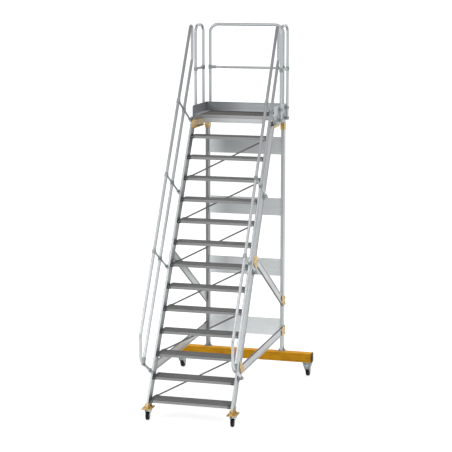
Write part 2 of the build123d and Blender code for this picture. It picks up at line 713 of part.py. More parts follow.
# Each brace is cut square to fit the post in front of it, and to the slope against the stringer
with BuildPart() as braces:
    for side in (-1, 1):
        for low, high in (
            (UPPER_LOW, UPPER_HIGH),
            ((POST_FRONT_Y + 200, LOWER_Z), (FIRST_NOSE_Y + 200, LOWER_Z)),
        ):
            low_end = Vector(side * BRACE_X, *low)
            high_end = Vector(side * BRACE_X, *high)
            along_brace = (high_end - low_end).normalized()
            with BuildSketch(line_plane(low_end - along_brace * 200, high_end)):
                add(profile(BRACE_THICKNESS, BRACE_DEPTH, BRACE_CHANNEL))
            extrude(amount=(high_end - low_end).length + 400)
    split(bisect_by=Plane.XZ.offset(-POST_FRONT_Y), keep=Keep.TOP)
    rear_face = Plane(
        origin=(0, *on_slope(0, STRINGER_REAR_UP)), x_dir=(1, 0, 0), z_dir=(0, sin(SLOPE), -cos(SLOPE))
    )
    split(bisect_by=rear_face, keep=Keep.TOP)
save(braces.part, "braces")

CHEEK = 5.0


def cheek(outline, side):
    """Cast cheek plate on the outer faces of a brace and of the stringer it meets."""
    with BuildPart() as plate:
        with BuildSketch(Plane.YZ.offset(side * (OUTER_X + CHEEK / 2) - CHEEK / 2)):
            with BuildLine():
                Polyline(*outline, close=True)
            make_face()
        extrude(amount=CHEEK)
    return plate.part


def post_cheek(middle, rise, side):
    """Cast cheek plate from the end of a brace onto the outer face of the rear post behind it."""
    outline = (
        (POST_FRONT_Y + POST_DEPTH - 2, middle - 56),
        (POST_FRONT_Y + POST_DEPTH - 2, middle + 58),
        (POST_FRONT_Y + 4, middle + 60),
        (POST_FRONT_Y - 72, middle + 52 + rise),
        (POST_FRONT_Y - 98, middle + rise),
        (POST_FRONT_Y - 72, middle - 48 + rise),
        (POST_FRONT_Y + 4, middle - 60),
    )
    with BuildPart() as plate:
        add(cheek(outline, side))
        with Locations((side * (POST_OUTER_X + OUTER_X) / 2, POST_MID_Y, middle)):
            Box(OUTER_X - POST_OUTER_X, POST_DEPTH - 4, 112)
    return plate.part


# Outlines of the cheeks on the stringers, by their distances along and above the nosings
STRINGER_CHEEKS = (
    ((1724, -8), (1736, 10), (1818, 10), (1845, -100), (1850, -182), (1735, -184), (1706, -134)),
    ((452, -44), (505, -14), (530, -18), (531, -232), (470, -196), (432, -161), (430, -100)),
)
UPPER_RISE = (UPPER_HIGH[1] - UPPER_LOW[1]) / (UPPER_LOW[0] - UPPER_HIGH[0])
UPPER_POST_Z = UPPER_LOW[1] + (UPPER_LOW[0] - POST_FRONT_Y) * UPPER_RISE
POST_CHEEKS = ((UPPER_POST_Z, 84 * UPPER_RISE), (LOWER_Z, 0))

brackets = []
for side in (-1, 1):
    brackets += [cheek([on_slope(*corner) for corner in outline], side) for outline in STRINGER_CHEEKS]
    brackets += [post_cheek(middle, rise, side) for middle, rise in POST_CHEEKS]
save(Compound(children=brackets), "brace_brackets")

# Crossbeam -----------------------------------------------------------------------------------

BEAM_MID_Y = BEAM_FRONT_Y + BEAM_DEPTH / 2
BEAM_HEIGHT = BEAM_TOP_Z - BEAM_BOTTOM_Z
BEAM_MID_Z = (BEAM_TOP_Z + BEAM_BOTTOM_Z) / 2
CAP = 12.0

with BuildPart() as crossbeam:
    with BuildSketch(Plane.YZ.offset(CAP - BEAM_HALF)):
        with Locations((BEAM_MID_Y, BEAM_MID_Z)):
            RectangleRounded(BEAM_DEPTH, BEAM_HEIGHT, 5)
        for face in (-1, 1):
            for groove in (-34, 0, 34):
                with Locations((BEAM_MID_Y + face * (BEAM_DEPTH / 2 - 1.5), BEAM_MID_Z + groove)):
                    Rectangle(3, 5, mode=Mode.SUBTRACT)
        with Locations((BEAM_MID_Y, BEAM_MID_Z)):
            Rectangle(BEAM_DEPTH - 12, BEAM_HEIGHT - 12, mode=Mode.SUBTRACT)
    extrude(amount=2 * (BEAM_HALF - CAP))
save(crossbeam.part, "crossbeam")

with BuildPart() as end_caps:
    for side in (-1, 1):
        with BuildSketch(Plane.YZ.offset(side * (BEAM_HALF - CAP / 2) - CAP / 2)):
            with Locations((BEAM_MID_Y, BEAM_MID_Z)):
                RectangleRounded(BEAM_DEPTH, BEAM_HEIGHT, 5)
        extrude(amount=CAP)
        front_along = (RAIL_BOTTOM_Z - FIRST_TREAD_Z - STRINGER_FRONT * cos(SLOPE)) / sin(SLOPE)
        front_y = on_slope(front_along, STRINGER_FRONT)[0]
        with Locations((side * STRINGER_X, front_y, RAIL_BOTTOM_Z)):
            Box(STRINGER_THICKNESS, DECK_FRONT_Y - front_y, 5, align=(Align.CENTER, Align.MIN, Align.MIN))
save(end_caps.part, "end_caps")

# Front feet ----------------------------------------------------------------------------------

FOOT_WALL = 6.0
FOOT_X = (452.0, 564.0)
FOOT_Y = (FIRST_NOSE_Y - 70.0, FIRST_NOSE_Y + 100.0)

with BuildPart() as foot_right:
    with BuildSketch(slope_plane(STRINGER_X, -300, STRINGER_MID_UP)):
        Rectangle(STRINGER_THICKNESS + 2 * FOOT_WALL, STRINGER_DEPTH + 2 * FOOT_WALL)
    extrude(amount=400)
    split(bisect_by=Plane.XY.offset(FOOT_PLATE_TOP_Z), keep=Keep.TOP)
    split(bisect_by=Plane.XY.offset(FIRST_TREAD_Z - TREAD_HEIGHT - 4), keep=Keep.BOTTOM)
    with BuildSketch(Plane.YZ.offset(STRINGER_X - 3)):
        with BuildLine():
            Polyline(
                (FOOT_Y[1] - 52, FOOT_PLATE_TOP_Z),
                (FOOT_Y[1] - 2, FOOT_PLATE_TOP_Z),
                (FOOT_Y[1] - 2, FOOT_PLATE_TOP_Z + 12),
                (FOOT_Y[1] - 30, FOOT_PLATE_TOP_Z + 52),
                close=True,
            )
        make_face()
    extrude(amount=6)
    for edge, tip in ((STRINGER_X + 10, FOOT_X[1]), (STRINGER_X - 10, FOOT_X[0])):
        for rib_y in (FIRST_NOSE_Y - 20, FIRST_NOSE_Y + 40):
            with BuildSketch(Plane.XZ.offset(-rib_y - 3)):
                with BuildLine():
                    Polyline(
                        (edge, FOOT_PLATE_TOP_Z),
                        (tip, FOOT_PLATE_TOP_Z),
                        (edge, FOOT_PLATE_TOP_Z + 52),
                        close=True,
                    )
                make_face()
            extrude(amount=6)
    # The socket of the stringer stops at the top of the foot's plate
    with BuildSketch(slope_plane(STRINGER_X, -300, STRINGER_MID_UP)):
        Rectangle(STRINGER_THICKNESS, STRINGER_DEPTH)
    extrude(amount=420, mode=Mode.SUBTRACT)
    with Locations(((FOOT_X[0] + FOOT_X[1]) / 2, (FOOT_Y[0] + FOOT_Y[1]) / 2, FRONT_HEIGHT)):
        Box(
            FOOT_X[1] - FOOT_X[0],
            FOOT_Y[1] - FOOT_Y[0],
            FOOT_PLATE_TOP_Z - FRONT_HEIGHT,
            align=(Align.CENTER, Align.CENTER, Align.MIN),
        )
save(Compound(children=both_sides([foot_right.part])), "front_feet")

# Castors -------------------------------------------------------------------------------------

MOUNT = 6.0
RACE = 10.0
RACE_GAP = 0.3
FORK_SHEET = 4.0
AXLE_FIT = 0.05


class Castor:
    """The sizes of one swivel castor, whose wheel trails along +Y or -Y at rest."""

    def __init__(self, x, y, height, radius, width, trail, mount, top_half, web, leg):
        self.x = x
        self.y = y
        self.height = height
        self.radius = radius
        self.width = width
        self.trail = trail
        self.mount = mount
        self.top_half = top_half
        self.web = web
        self.leg = leg
        self.crown_z = height - MOUNT - RACE - RACE_GAP
        self.hub_half = width / 2 + 2.5
        self.fork_half = self.hub_half + 0.5
        self.toward = 1 if trail > 0 else -1

    def axle(self):
        """The middle of the wheel."""
        return (self.x, self.y + self.trail, self.radius)


def castor_mount(castor):
    """Top plate with the fixed half of the ball race under it, bored for the kingpin."""
    with BuildPart() as plate:
        with BuildSketch(Plane.XY.offset(castor.height - MOUNT)):
            with Locations((castor.x, castor.y)):
                RectangleRounded(castor.mount[0], castor.mount[1], 10)
        extrude(amount=MOUNT)
        with BuildSketch(Plane.XY.offset(castor.height - MOUNT - RACE)):
            with Locations((castor.x, castor.y)):
                Circle(castor.top_half * 0.62)
        extrude(amount=RACE)
        with BuildSketch(Plane.XY.offset(castor.height - MOUNT - RACE)):
            with Locations((castor.x, castor.y)):
                Circle(6)
        extrude(amount=RACE + MOUNT, mode=Mode.SUBTRACT)
    return plate.part


def castor_kingpin(castor):
    """Rivet that hangs the fork from the top plate, with its head under the crown."""
    with BuildPart() as pin:
        with BuildSketch(Plane.XY.offset(castor.crown_z - FORK_SHEET - RACE_GAP)):
            with Locations((castor.x, castor.y)):
                Circle(6)
        extrude(amount=castor.height - castor.crown_z + FORK_SHEET + RACE_GAP)
        with BuildSketch(Plane.XY.offset(castor.crown_z - FORK_SHEET - RACE_GAP)):
            with Locations((castor.x, castor.y)):
                Circle(11)
        extrude(amount=-5)
    return pin.part


def castor_fork(castor):
    """Pressed fork: crown, two legs that close in towards the axle, and a web in front."""
    low = castor.radius - castor.leg - 1
    lead = castor.top_half * 0.72
    with BuildPart() as fork:
        with BuildSketch(Plane.XZ.offset(-castor.y - 150)):
            with BuildLine():
                Polyline(
                    (castor.x - castor.top_half, castor.crown_z),
                    (castor.x + castor.top_half, castor.crown_z),
                    (castor.x + castor.fork_half + FORK_SHEET, castor.radius + 12),
                    (castor.x + castor.fork_half + FORK_SHEET, low),
                    (castor.x - castor.fork_half - FORK_SHEET, low),
                    (castor.x - castor.fork_half - FORK_SHEET, castor.radius + 12),
                    close=True,
                )
            make_face()
        extrude(amount=300)
        with BuildSketch(Plane.YZ.offset(castor.x - castor.top_half)):
            with BuildLine():
                Polyline(
                    (castor.y - castor.toward * lead, castor.crown_z),
                    (castor.y + castor.trail * 1.25, castor.crown_z),
                    (castor.y + castor.trail + castor.toward * castor.leg, castor.radius),
                    (castor.y + castor.trail - castor.toward * 0.88 * castor.leg, castor.radius - castor.leg / 2),
                    (castor.y - castor.toward * lead, castor.crown_z - castor.web),
                    close=True,
                )
            make_face()
            with Locations((castor.y + castor.trail, castor.radius)):
                Circle(castor.leg)
        extrude(amount=2 * castor.top_half, mode=Mode.INTERSECT)
        inner_start = castor.y - castor.toward * (lead - FORK_SHEET)
        with BuildSketch(Plane.XZ.offset(-inner_start)):
            with BuildLine():
                Polyline(
                    (castor.x - castor.top_half + FORK_SHEET + 3, castor.crown_z - FORK_SHEET),
                    (castor.x + castor.top_half - FORK_SHEET - 3, castor.crown_z - FORK_SHEET),
                    (castor.x + castor.fork_half, castor.radius + 12),
                    (castor.x + castor.fork_half, low - 1),
                    (castor.x - castor.fork_half, low - 1),
                    (castor.x - castor.fork_half, castor.radius + 12),
                    close=True,
                )
            make_face()
        extrude(amount=-castor.toward * 200, mode=Mode.SUBTRACT)
        with Locations((castor.x, castor.y, castor.crown_z)):
            Cylinder(6 + AXLE_FIT, 40, mode=Mode.SUBTRACT)
        with BuildSketch(Plane.YZ.offset(castor.x - 100)):
            with Locations(castor.axle()[1:]):
                Circle(5 + AXLE_FIT)
        extrude(amount=200, mode=Mode.SUBTRACT)
    return fork.part


def castor_axle(castor):
    """Axle bolt through the fork, with its head at one end and its nut at the other."""
    reach = castor.fork_half + FORK_SHEET
    with BuildPart() as axle:
        with BuildSketch(Plane.YZ.offset(castor.x - reach)):
            with Locations(castor.axle()[1:]):
                Circle(5)
        extrude(amount=2 * reach)
        for end in (-1, 1):
            with BuildSketch(Plane.YZ.offset(castor.x + end * reach)):
                with Locations(castor.axle()[1:]):
                    RegularPolygon(8.5, 6, major_radius=False)
            extrude(amount=end * 7)
    return axle.part


def castor_hub(castor):
    """Wheel centre: a rim, a web and a hub that turns on the axle bolt."""
    rim = castor.radius * 0.76
    with BuildPart() as hub:
        with BuildSketch(Plane.YZ.offset(castor.x - castor.width / 2 + 1)):
            with Locations(castor.axle()[1:]):
                Circle(rim)
                Circle(rim - 6, mode=Mode.SUBTRACT)
        extrude(amount=castor.width - 2)
        with BuildSketch(Plane.YZ.offset(castor.x - 5)):
            with Locations(castor.axle()[1:]):
                Circle(rim - 5)
        extrude(amount=10)
        with BuildSketch(Plane.YZ.offset(castor.x - castor.hub_half)):
            with Locations(castor.axle()[1:]):
                Circle(13)
        extrude(amount=2 * castor.hub_half)
        with BuildSketch(Plane.YZ.offset(castor.x - castor.hub_half)):
            with Locations(castor.axle()[1:]):
                Circle(5 + AXLE_FIT)
        extrude(amount=2 * castor.hub_half, mode=Mode.SUBTRACT)
    return hub.part


def castor_tyre(castor):
    """Rubber tyre on the rim, with rounded shoulders."""
    rim = castor.radius * 0.76
    with BuildPart() as tyre:
        with BuildSketch(Plane.XZ.offset(-castor.axle()[1])) as section:
            with Locations((castor.x, castor.radius + (rim + castor.radius) / 2)):
                Rectangle(castor.width, castor.radius - rim)
            outer_corners = section.vertices().sort_by(Axis.Y)[-2:]
            fillet(outer_corners, radius=(castor.radius - rim) * 0.6)
        revolve(axis=Axis(castor.axle(), (1, 0, 0)))
    return tyre.part


front_sizes = {
    "height": FRONT_HEIGHT,
    "radius": FRONT_WHEEL_R,
    "width": FRONT_WHEEL_W,
    "trail": -FRONT_TRAIL,
    "mount": (100, 85),
    "top_half": 38.0,
    "web": 24.0,
    "leg": 15.0,
}
rear_sizes = {
    "height": REAR_HEIGHT,
    "radius": REAR_WHEEL_R,
    "width": REAR_WHEEL_W,
    "trail": REAR_TRAIL,
    "mount": (126, 105),
    "top_half": 56.0,
    "web": 72.0,
    "leg": 38.0,
}
castors = {
    "front_left": Castor(-FRONT_CASTOR[0], FRONT_CASTOR[1], **front_sizes),
    "front_right": Castor(FRONT_CASTOR[0], FRONT_CASTOR[1], **front_sizes),
    "rear_left": Castor(-REAR_CASTOR[0], REAR_CASTOR[1], **rear_sizes),
    "rear_right": Castor(REAR_CASTOR[0], REAR_CASTOR[1], **rear_sizes),
}

save(Compound(children=[castor_mount(castor) for castor in castors.values()]), "castor_plates")
save(Compound(children=[castor_kingpin(castor) for castor in castors.values()]), "castor_kingpins")
for place, castor in castors.items():
    save(castor_fork(castor), f"fork_{place}")
    save(castor_axle(castor), f"axle_{place}")
    save(castor_hub(castor), f"wheel_{place}")
    save(castor_tyre(castor), f"tyre_{place}")

# Bolts ---------------------------------------------------------------------------------------


def up_of(y, z):
    """How far a point lies square above the line of nosings."""
    return (z - FIRST_TREAD_Z) * cos(SLOPE) - (y - FIRST_NOSE_Y) * sin(SLOPE)


bolts = []
for number in range(1, TREADS + 1):
    for back in (54, 84):
        y = nose_y(number) + back
        z = tread_z(number) - 15
        in_channel = abs(up_of(y, z) - STRINGER_MID_UP) < 34
        bolts.append(bolt_head(OUTER_X - 2 if in_channel else OUTER_X, y, z, (1, 0, 0), 13, 5))
for castor in (castors["front_right"], castors["rear_right"]):
    for across in (-0.38, 0.38):
        for along in (-0.36, 0.36):
            x = castor.x + across * castor.mount[0]
            y = castor.y + along * castor.mount[1]
            bolts.append(bolt_head(x, y, castor.height - MOUNT, (0, 0, -1)))
for middle, rise in POST_CHEEKS:
    for y, z in (
        (POST_MID_Y + 26, middle + 38),
        (POST_MID_Y + 26, middle - 38),
        (POST_FRONT_Y - 70, middle + rise),
    ):
        bolts.append(bolt_head(OUTER_X + CHEEK, y, z, (1, 0, 0), 15, 7))
for along, up in ((1790, -20), (1750, -84), (1806, -150), (502, -48), (462, -92), (494, -170)):
    bolts.append(bolt_head(OUTER_X + CHEEK, *on_slope(along, up), (1, 0, 0), 15, 7))
for flank in (-1, 1):
    x = POST_MID_X + flank * (POST_WIDTH / 2 + 17)
    bolts.append(bolt_head(x, POST_MID_Y - 24, BEAM_TOP_Z + 8, (0, 0, 1)))
save(Compound(children=both_sides(bolts)), "bolts")
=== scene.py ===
"""Looks of the rolling warehouse ladder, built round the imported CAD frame. Metres."""
import math

import bmesh
import bpy
from mathutils import Matrix, Vector


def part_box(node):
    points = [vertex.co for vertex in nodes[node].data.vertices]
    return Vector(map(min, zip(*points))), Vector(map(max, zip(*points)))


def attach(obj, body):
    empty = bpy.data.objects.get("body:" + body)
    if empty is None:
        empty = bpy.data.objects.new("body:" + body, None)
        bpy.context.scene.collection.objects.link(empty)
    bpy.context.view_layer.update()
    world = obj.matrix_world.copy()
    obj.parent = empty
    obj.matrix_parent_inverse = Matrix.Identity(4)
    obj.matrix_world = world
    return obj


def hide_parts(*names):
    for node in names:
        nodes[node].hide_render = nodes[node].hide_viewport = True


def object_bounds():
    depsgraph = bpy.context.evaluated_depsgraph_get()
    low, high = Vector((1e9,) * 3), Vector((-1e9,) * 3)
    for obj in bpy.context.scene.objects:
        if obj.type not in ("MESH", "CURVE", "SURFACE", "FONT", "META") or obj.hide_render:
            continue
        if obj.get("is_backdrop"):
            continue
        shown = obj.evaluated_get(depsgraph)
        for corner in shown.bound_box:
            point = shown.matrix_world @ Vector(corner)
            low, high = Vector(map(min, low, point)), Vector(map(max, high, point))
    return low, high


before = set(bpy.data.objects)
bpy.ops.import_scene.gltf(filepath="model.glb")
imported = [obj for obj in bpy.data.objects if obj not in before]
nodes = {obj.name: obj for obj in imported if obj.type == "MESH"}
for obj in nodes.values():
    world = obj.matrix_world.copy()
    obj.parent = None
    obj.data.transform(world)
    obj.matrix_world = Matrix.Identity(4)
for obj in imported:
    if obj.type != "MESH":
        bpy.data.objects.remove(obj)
cad_low, cad_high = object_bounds()
scene = bpy.context.scene

# Where things are, read from the CAD -----------------------------------------------------------
TREADS = 13
first_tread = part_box("tread_01")
NOSE_Y = first_tread[0].y
TREAD_Z = first_tread[1].z
TREAD_HALF = first_tread[1].x
TREAD_DEPTH = first_tread[1].y - first_tread[0].y
TREAD_HEIGHT = first_tread[1].z - first_tread[0].z
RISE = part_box("tread_02")[1].z - TREAD_Z
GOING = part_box("tread_02")[0].y - NOSE_Y
SLOPE = math.atan2(RISE, GOING)
DECK_LOW, DECK_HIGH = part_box("deck")
RAIL_LOW, RAIL_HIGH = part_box("handrail_right")
SIDE_X = (RAIL_LOW.x + RAIL_HIGH.x) / 2
TUBE_R = (RAIL_HIGH.x - RAIL_LOW.x) / 2
X, Y, Z = Vector((1, 0, 0)), Vector((0, 1, 0)), Vector((0, 0, 1))


def on_slope(x, along, up):
    """A point so far along the line of nosings, and so far square above it."""
    return Vector((
        x,
        NOSE_Y + along * math.cos(SLOPE) - up * math.sin(SLOPE),
        TREAD_Z + along * math.sin(SLOPE) + up * math.cos(SLOPE),
    ))


def along_at(y, up):
    """How far along the nosings a line `up` above them reaches a given Y."""
    return (y - NOSE_Y + up * math.sin(SLOPE)) / math.cos(SLOPE)


# Camera ----------------------------------------------------------------------------------------
camera = bpy.data.objects.new("camera", bpy.data.cameras.new("camera"))
scene.collection.objects.link(camera)
VIEW_X, VIEW_BACK, VIEW_Z = 5.101, 16.476, 5.218  # where the camera stands, in front of the first nosing
VIEW_DOWN, VIEW_TURN = 9.63, 15.83  # degrees below level, and away from the stair's own axis
VIEW_LENS = 124.2
camera.location = (VIEW_X, NOSE_Y - VIEW_BACK, VIEW_Z)
camera.rotation_euler = (math.radians(90 - VIEW_DOWN), 0, math.radians(VIEW_TURN))
camera.data.sensor_width = 36
camera.data.lens = VIEW_LENS
camera.data.clip_end = 1000
scene.camera = camera


# Materials -------------------------------------------------------------------------------------
LOOKS_START, LOOKS_FULL = 0.3, 0.8  # how far a face turns an axis's way before its painted light and shade factor starts, and is full
INWARD_FULL, INWARD_END = -0.35, -0.05  # the same for the painted light and shade on faces that look towards the middle of the ladder
MATERIAL_FLOOR = 0.2  # height where the painted light and shade factors for the floor apply
GRAIN_SCALE, CLOUD_SCALE = 60, 2.2  # of the noise in drawn metal
GRAIN_DEPTH, PEEL_DEPTH = 0.0006, 0.0008
WALKED_SHADING_LEFT, WALKED_SHADING_RIGHT = 1.3, 0.8  # painted light and shade: factors at the two ends of a walking surface, lighter at the left, darker at the right


def fill_ramp(band, stops):
    """Sets the (position, grey or colour) stops of a colour ramp."""
    while len(band.elements) < len(stops):
        band.elements.new(0.5)
    for element, (position, colour) in zip(band.elements, stops):
        element.position = position
        element.color = (*colour, 1) if hasattr(colour, "__len__") else (colour, colour, colour, 1)


class Shader:
    """A node material: a Principled surface whose colour, roughness and bump come from noise."""

    def __init__(self, name, metallic, roughness):
        self.material = bpy.data.materials.new(name)
        self.material.use_nodes = True
        self.tree = self.material.node_tree
        self.surface = self.tree.nodes["Principled BSDF"]
        self.surface.inputs["Metallic"].default_value = metallic
        self.surface.inputs["Roughness"].default_value = roughness
        self.place = self.tree.nodes.new("ShaderNodeTexCoord").outputs["Object"]

    def node(self, kind, **settings):
        made = self.tree.nodes.new(kind)
        for key, value in settings.items():
            setattr(made, key, value)
        return made

    def link(self, out, into):
        """Feeds an input from another node's output, or sets it to a number."""
        if isinstance(out, float):
            into.default_value = out
        else:
            self.tree.links.new(out, into)

    def turned(self, angle, stretch):
        """Object coordinates turned about X and then stretched, for grain along a slope."""
        turn = self.node("ShaderNodeMapping")
        turn.inputs["Rotation"].default_value = (angle, 0, 0)
        self.link(self.place, turn.inputs["Vector"])
        mapping = self.node("ShaderNodeMapping")
        mapping.inputs["Scale"].default_value = stretch
        self.link(turn.outputs["Vector"], mapping.inputs["Vector"])
        return mapping.outputs["Vector"]

    def noise(self, vector, scale, detail=3.0):
        made = self.node("ShaderNodeTexNoise")
        made.inputs["Scale"].default_value = scale
        made.inputs["Detail"].default_value = detail
        self.link(vector, made.inputs["Vector"])
        return made.outputs["Fac"]

    def ramp(self, value, *stops):
        made = self.node("ShaderNodeValToRGB")
        fill_ramp(made.color_ramp, stops)
        self.link(value, made.inputs["Fac"])
        return made.outputs["Color"]

    def range(self, value, low, high, start=0.0, end=1.0):
        """`low` at `start` and `high` at `end`, and in step between."""
        made = self.node("ShaderNodeMapRange")
        made.inputs["From Min"].default_value = start
        made.inputs["From Max"].default_value = end
        made.inputs["To Min"].default_value = low
        made.inputs["To Max"].default_value = high
        self.link(value, made.inputs["Value"])
        return made.outputs["Result"]

    def part(self, vector, axis):
        """One coordinate of a vector."""
        made = self.node("ShaderNodeSeparateXYZ")
        self.link(vector, made.inputs["Vector"])
        return made.outputs[axis]

    def normal(self, axis):
        return self.part(self.node("ShaderNodeNewGeometry").outputs["Normal"], axis)

    def product(self, first, second):
        made = self.node("ShaderNodeMath", operation="MULTIPLY")
        self.link(first, made.inputs[0])
        self.link(second, made.inputs[1])
        return made.outputs[0]

    def between(self, factor, first, second):
        """A number between two others."""
        made = self.node("ShaderNodeMix", data_type="FLOAT")
        self.link(factor, made.inputs[0])
        self.link(first, made.inputs[2])
        self.link(second, made.inputs[3])
        return made.outputs[0]

    def scaled(self, colour, factor):
        """A colour times a number."""
        made = self.node("ShaderNodeVectorMath", operation="SCALE")
        self.link(colour, made.inputs[0])
        self.link(factor, made.inputs["Scale"])
        return made.outputs[0]

    def banded(self, colour, place, stops):
        """A colour times a number that runs through (position, factor) stops."""
        return self.scaled(colour, self.part(self.ramp(place, *stops), "X"))

    def faced(self, colour, facing_shading):
        """Painted light and shade: a colour times a factor on the faces that look one way, for each (axis,
        sign, factor).
        """
        for axis, sign, factor in facing_shading:
            share = self.range(self.normal(axis), 1.0, factor, LOOKS_START * sign, LOOKS_FULL * sign)
            colour = self.scaled(colour, share)
        return colour

    def blended(self, factor, first, second):
        """A mix of two colours."""
        made = self.node("ShaderNodeMix", data_type="RGBA")
        self.link(factor, made.inputs[0])
        self.link(first, made.inputs[6])
        self.link(second, made.inputs[7])
        return made.outputs[2]

    def bump(self, height, strength, distance):
        made = self.node("ShaderNodeBump")
        made.inputs["Strength"].default_value = strength
        made.inputs["Distance"].default_value = distance
        self.link(height, made.inputs["Height"])
        self.link(made.outputs["Normal"], self.surface.inputs["Normal"])

    def colour(self, out):
        self.link(out, self.surface.inputs["Base Color"])

    def rough(self, value, low, high):
        self.link(self.range(value, low, high), self.surface.inputs["Roughness"])


def metal(name, dark, light, stretch, rough=(0.3, 0.45), metallic=0.6, angle=0.0, bump=0.05, inward_shading=None,
          height_shading=None, across=None, facing_shading=(), shade_bands=(), behind=None):
    """Drawn aluminium: fine grain along one direction, cloudy patches, and painted light and shade that vary
    by place.

    `inward_shading` gives factors of painted light and shade, at the floor and at the top, for faces that
    look towards the middle of the ladder.
    `height_shading` gives factors of painted light and shade at the floor and at the top, `across` a band of
    such factors from left to right,
    `shade_bands` (depth below the nosings, factor) stripes of painted shade along the stair, `behind` (Y,
    factor) a painted light factor past a place, and `facing_shading` (axis, sign, factor) a factor of painted
    light and shade for the faces that look one way.
    """
    shader = Shader(name, metallic, sum(rough) / 2)
    grain = shader.noise(shader.turned(angle, stretch), GRAIN_SCALE, 4)
    cloud = shader.noise(shader.place, CLOUD_SCALE, 3)
    colour = shader.ramp(shader.between(0.4, cloud, grain), (0.3, dark), (0.7, light))
    height = shader.part(shader.place, "Z")
    sideways = shader.part(shader.place, "X")
    # Painted light and shade on faces that look towards the middle of the ladder, changing with height
    if inward_shading:
        outward = shader.product(shader.normal("X"), sideways)
        outward = shader.range(outward, 0.0, 1.0, INWARD_FULL, INWARD_END)
        inward_factor = shader.range(height, *inward_shading, MATERIAL_FLOOR, cad_high.z)
        colour = shader.scaled(colour, shader.between(outward, inward_factor, 1.0))
    # Painted light and shade that changes from the floor to the top
    if height_shading:
        colour = shader.scaled(colour, shader.range(height, *height_shading, MATERIAL_FLOOR, cad_high.z))
    # Painted light and shade that changes from left to right
    if across:
        place = shader.range(sideways, 0.0, 1.0, -DECK_HIGH.x, DECK_HIGH.x)
        steps = len(across) - 1
        colour = shader.banded(colour, place, [(n / steps, factor) for n, factor in enumerate(across)])
    # Painted shade in stripes along the stair
    if shade_bands:
        front = TREAD_Z * math.cos(SLOPE) - NOSE_Y * math.sin(SLOPE)
        first, last = shade_bands[0][0], shade_bands[-1][0]
        depth = shader.part(shader.turned(-SLOPE, (1, 1, 1)), "Z")
        place = shader.range(depth, 0.0, 1.0, front - first, front - last)
        stops = [((step - first) / (last - first), factor) for step, factor in shade_bands]
        colour = shader.banded(colour, place, stops)
    # Painted light: brighter past a place along Y
    if behind:
        edge, factor = behind
        depth = shader.part(shader.place, "Y")
        colour = shader.scaled(colour, shader.range(depth, 1.0, factor, edge - 0.02, edge))
    # Painted light and shade on the faces that look one way
    shader.colour(shader.faced(colour, facing_shading))
    shader.rough(grain, *rough)
    shader.bump(grain, bump, GRAIN_DEPTH)
    return shader.material


def cast(name, dark, light, metallic=0.0, rough=(0.35, 0.55), scale=180, bump=0.25, facing_shading=(), gloss=0.5,
         cloudy=9):
    """A cast or moulded surface: fine orange peel and cloudy colour, with `facing_shading` painted light and
    shade as in metal().
    """
    shader = Shader(name, metallic, sum(rough) / 2)
    shader.surface.inputs["Specular IOR Level"].default_value = gloss
    peel = shader.noise(shader.place, scale, 2)
    cloud = shader.noise(shader.place, cloudy, 4)
    shader.colour(shader.faced(shader.ramp(cloud, (0.32, dark), (0.68, light)), facing_shading))
    shader.rough(peel, *rough)
    shader.bump(peel, bump, PEEL_DEPTH)
    return shader.material


def walked(name, dark, light, worn, lip):
    """Ribbed walking surface: dark patchy top streaked along its length, with painted light at its left end
    and painted shade at its right, and a paler lip in front.
    """
    shader = Shader(name, 0.0, 0.5)
    shader.surface.inputs["Specular IOR Level"].default_value = 0.15
    streak = shader.noise(shader.turned(0.0, (0.03, 1, 1)), 70, 4)
    patch = shader.noise(shader.turned(0.0, (0.6, 2.4, 1)), 5, 4)
    top = shader.ramp(shader.between(0.45, patch, streak), (0.34, dark), (0.56, light), (0.72, worn))
    sideways = shader.part(shader.place, "X")
    # Painted light and shade along the top: lighter at the left end, darker at the right end
    top = shader.scaled(top, shader.range(sideways, WALKED_SHADING_LEFT, WALKED_SHADING_RIGHT, -TREAD_HALF, TREAD_HALF))
    edge = shader.ramp(streak, (0.3, tuple(0.82 * c for c in lip)), (0.7, lip))
    shader.colour(shader.blended(shader.range(shader.normal("Z"), 0.0, 1.0, 0.35, 0.75), edge, top))
    shader.rough(streak, 0.4, 0.6)
    shader.bump(streak, 0.08, GRAIN_DEPTH)
    return shader.material


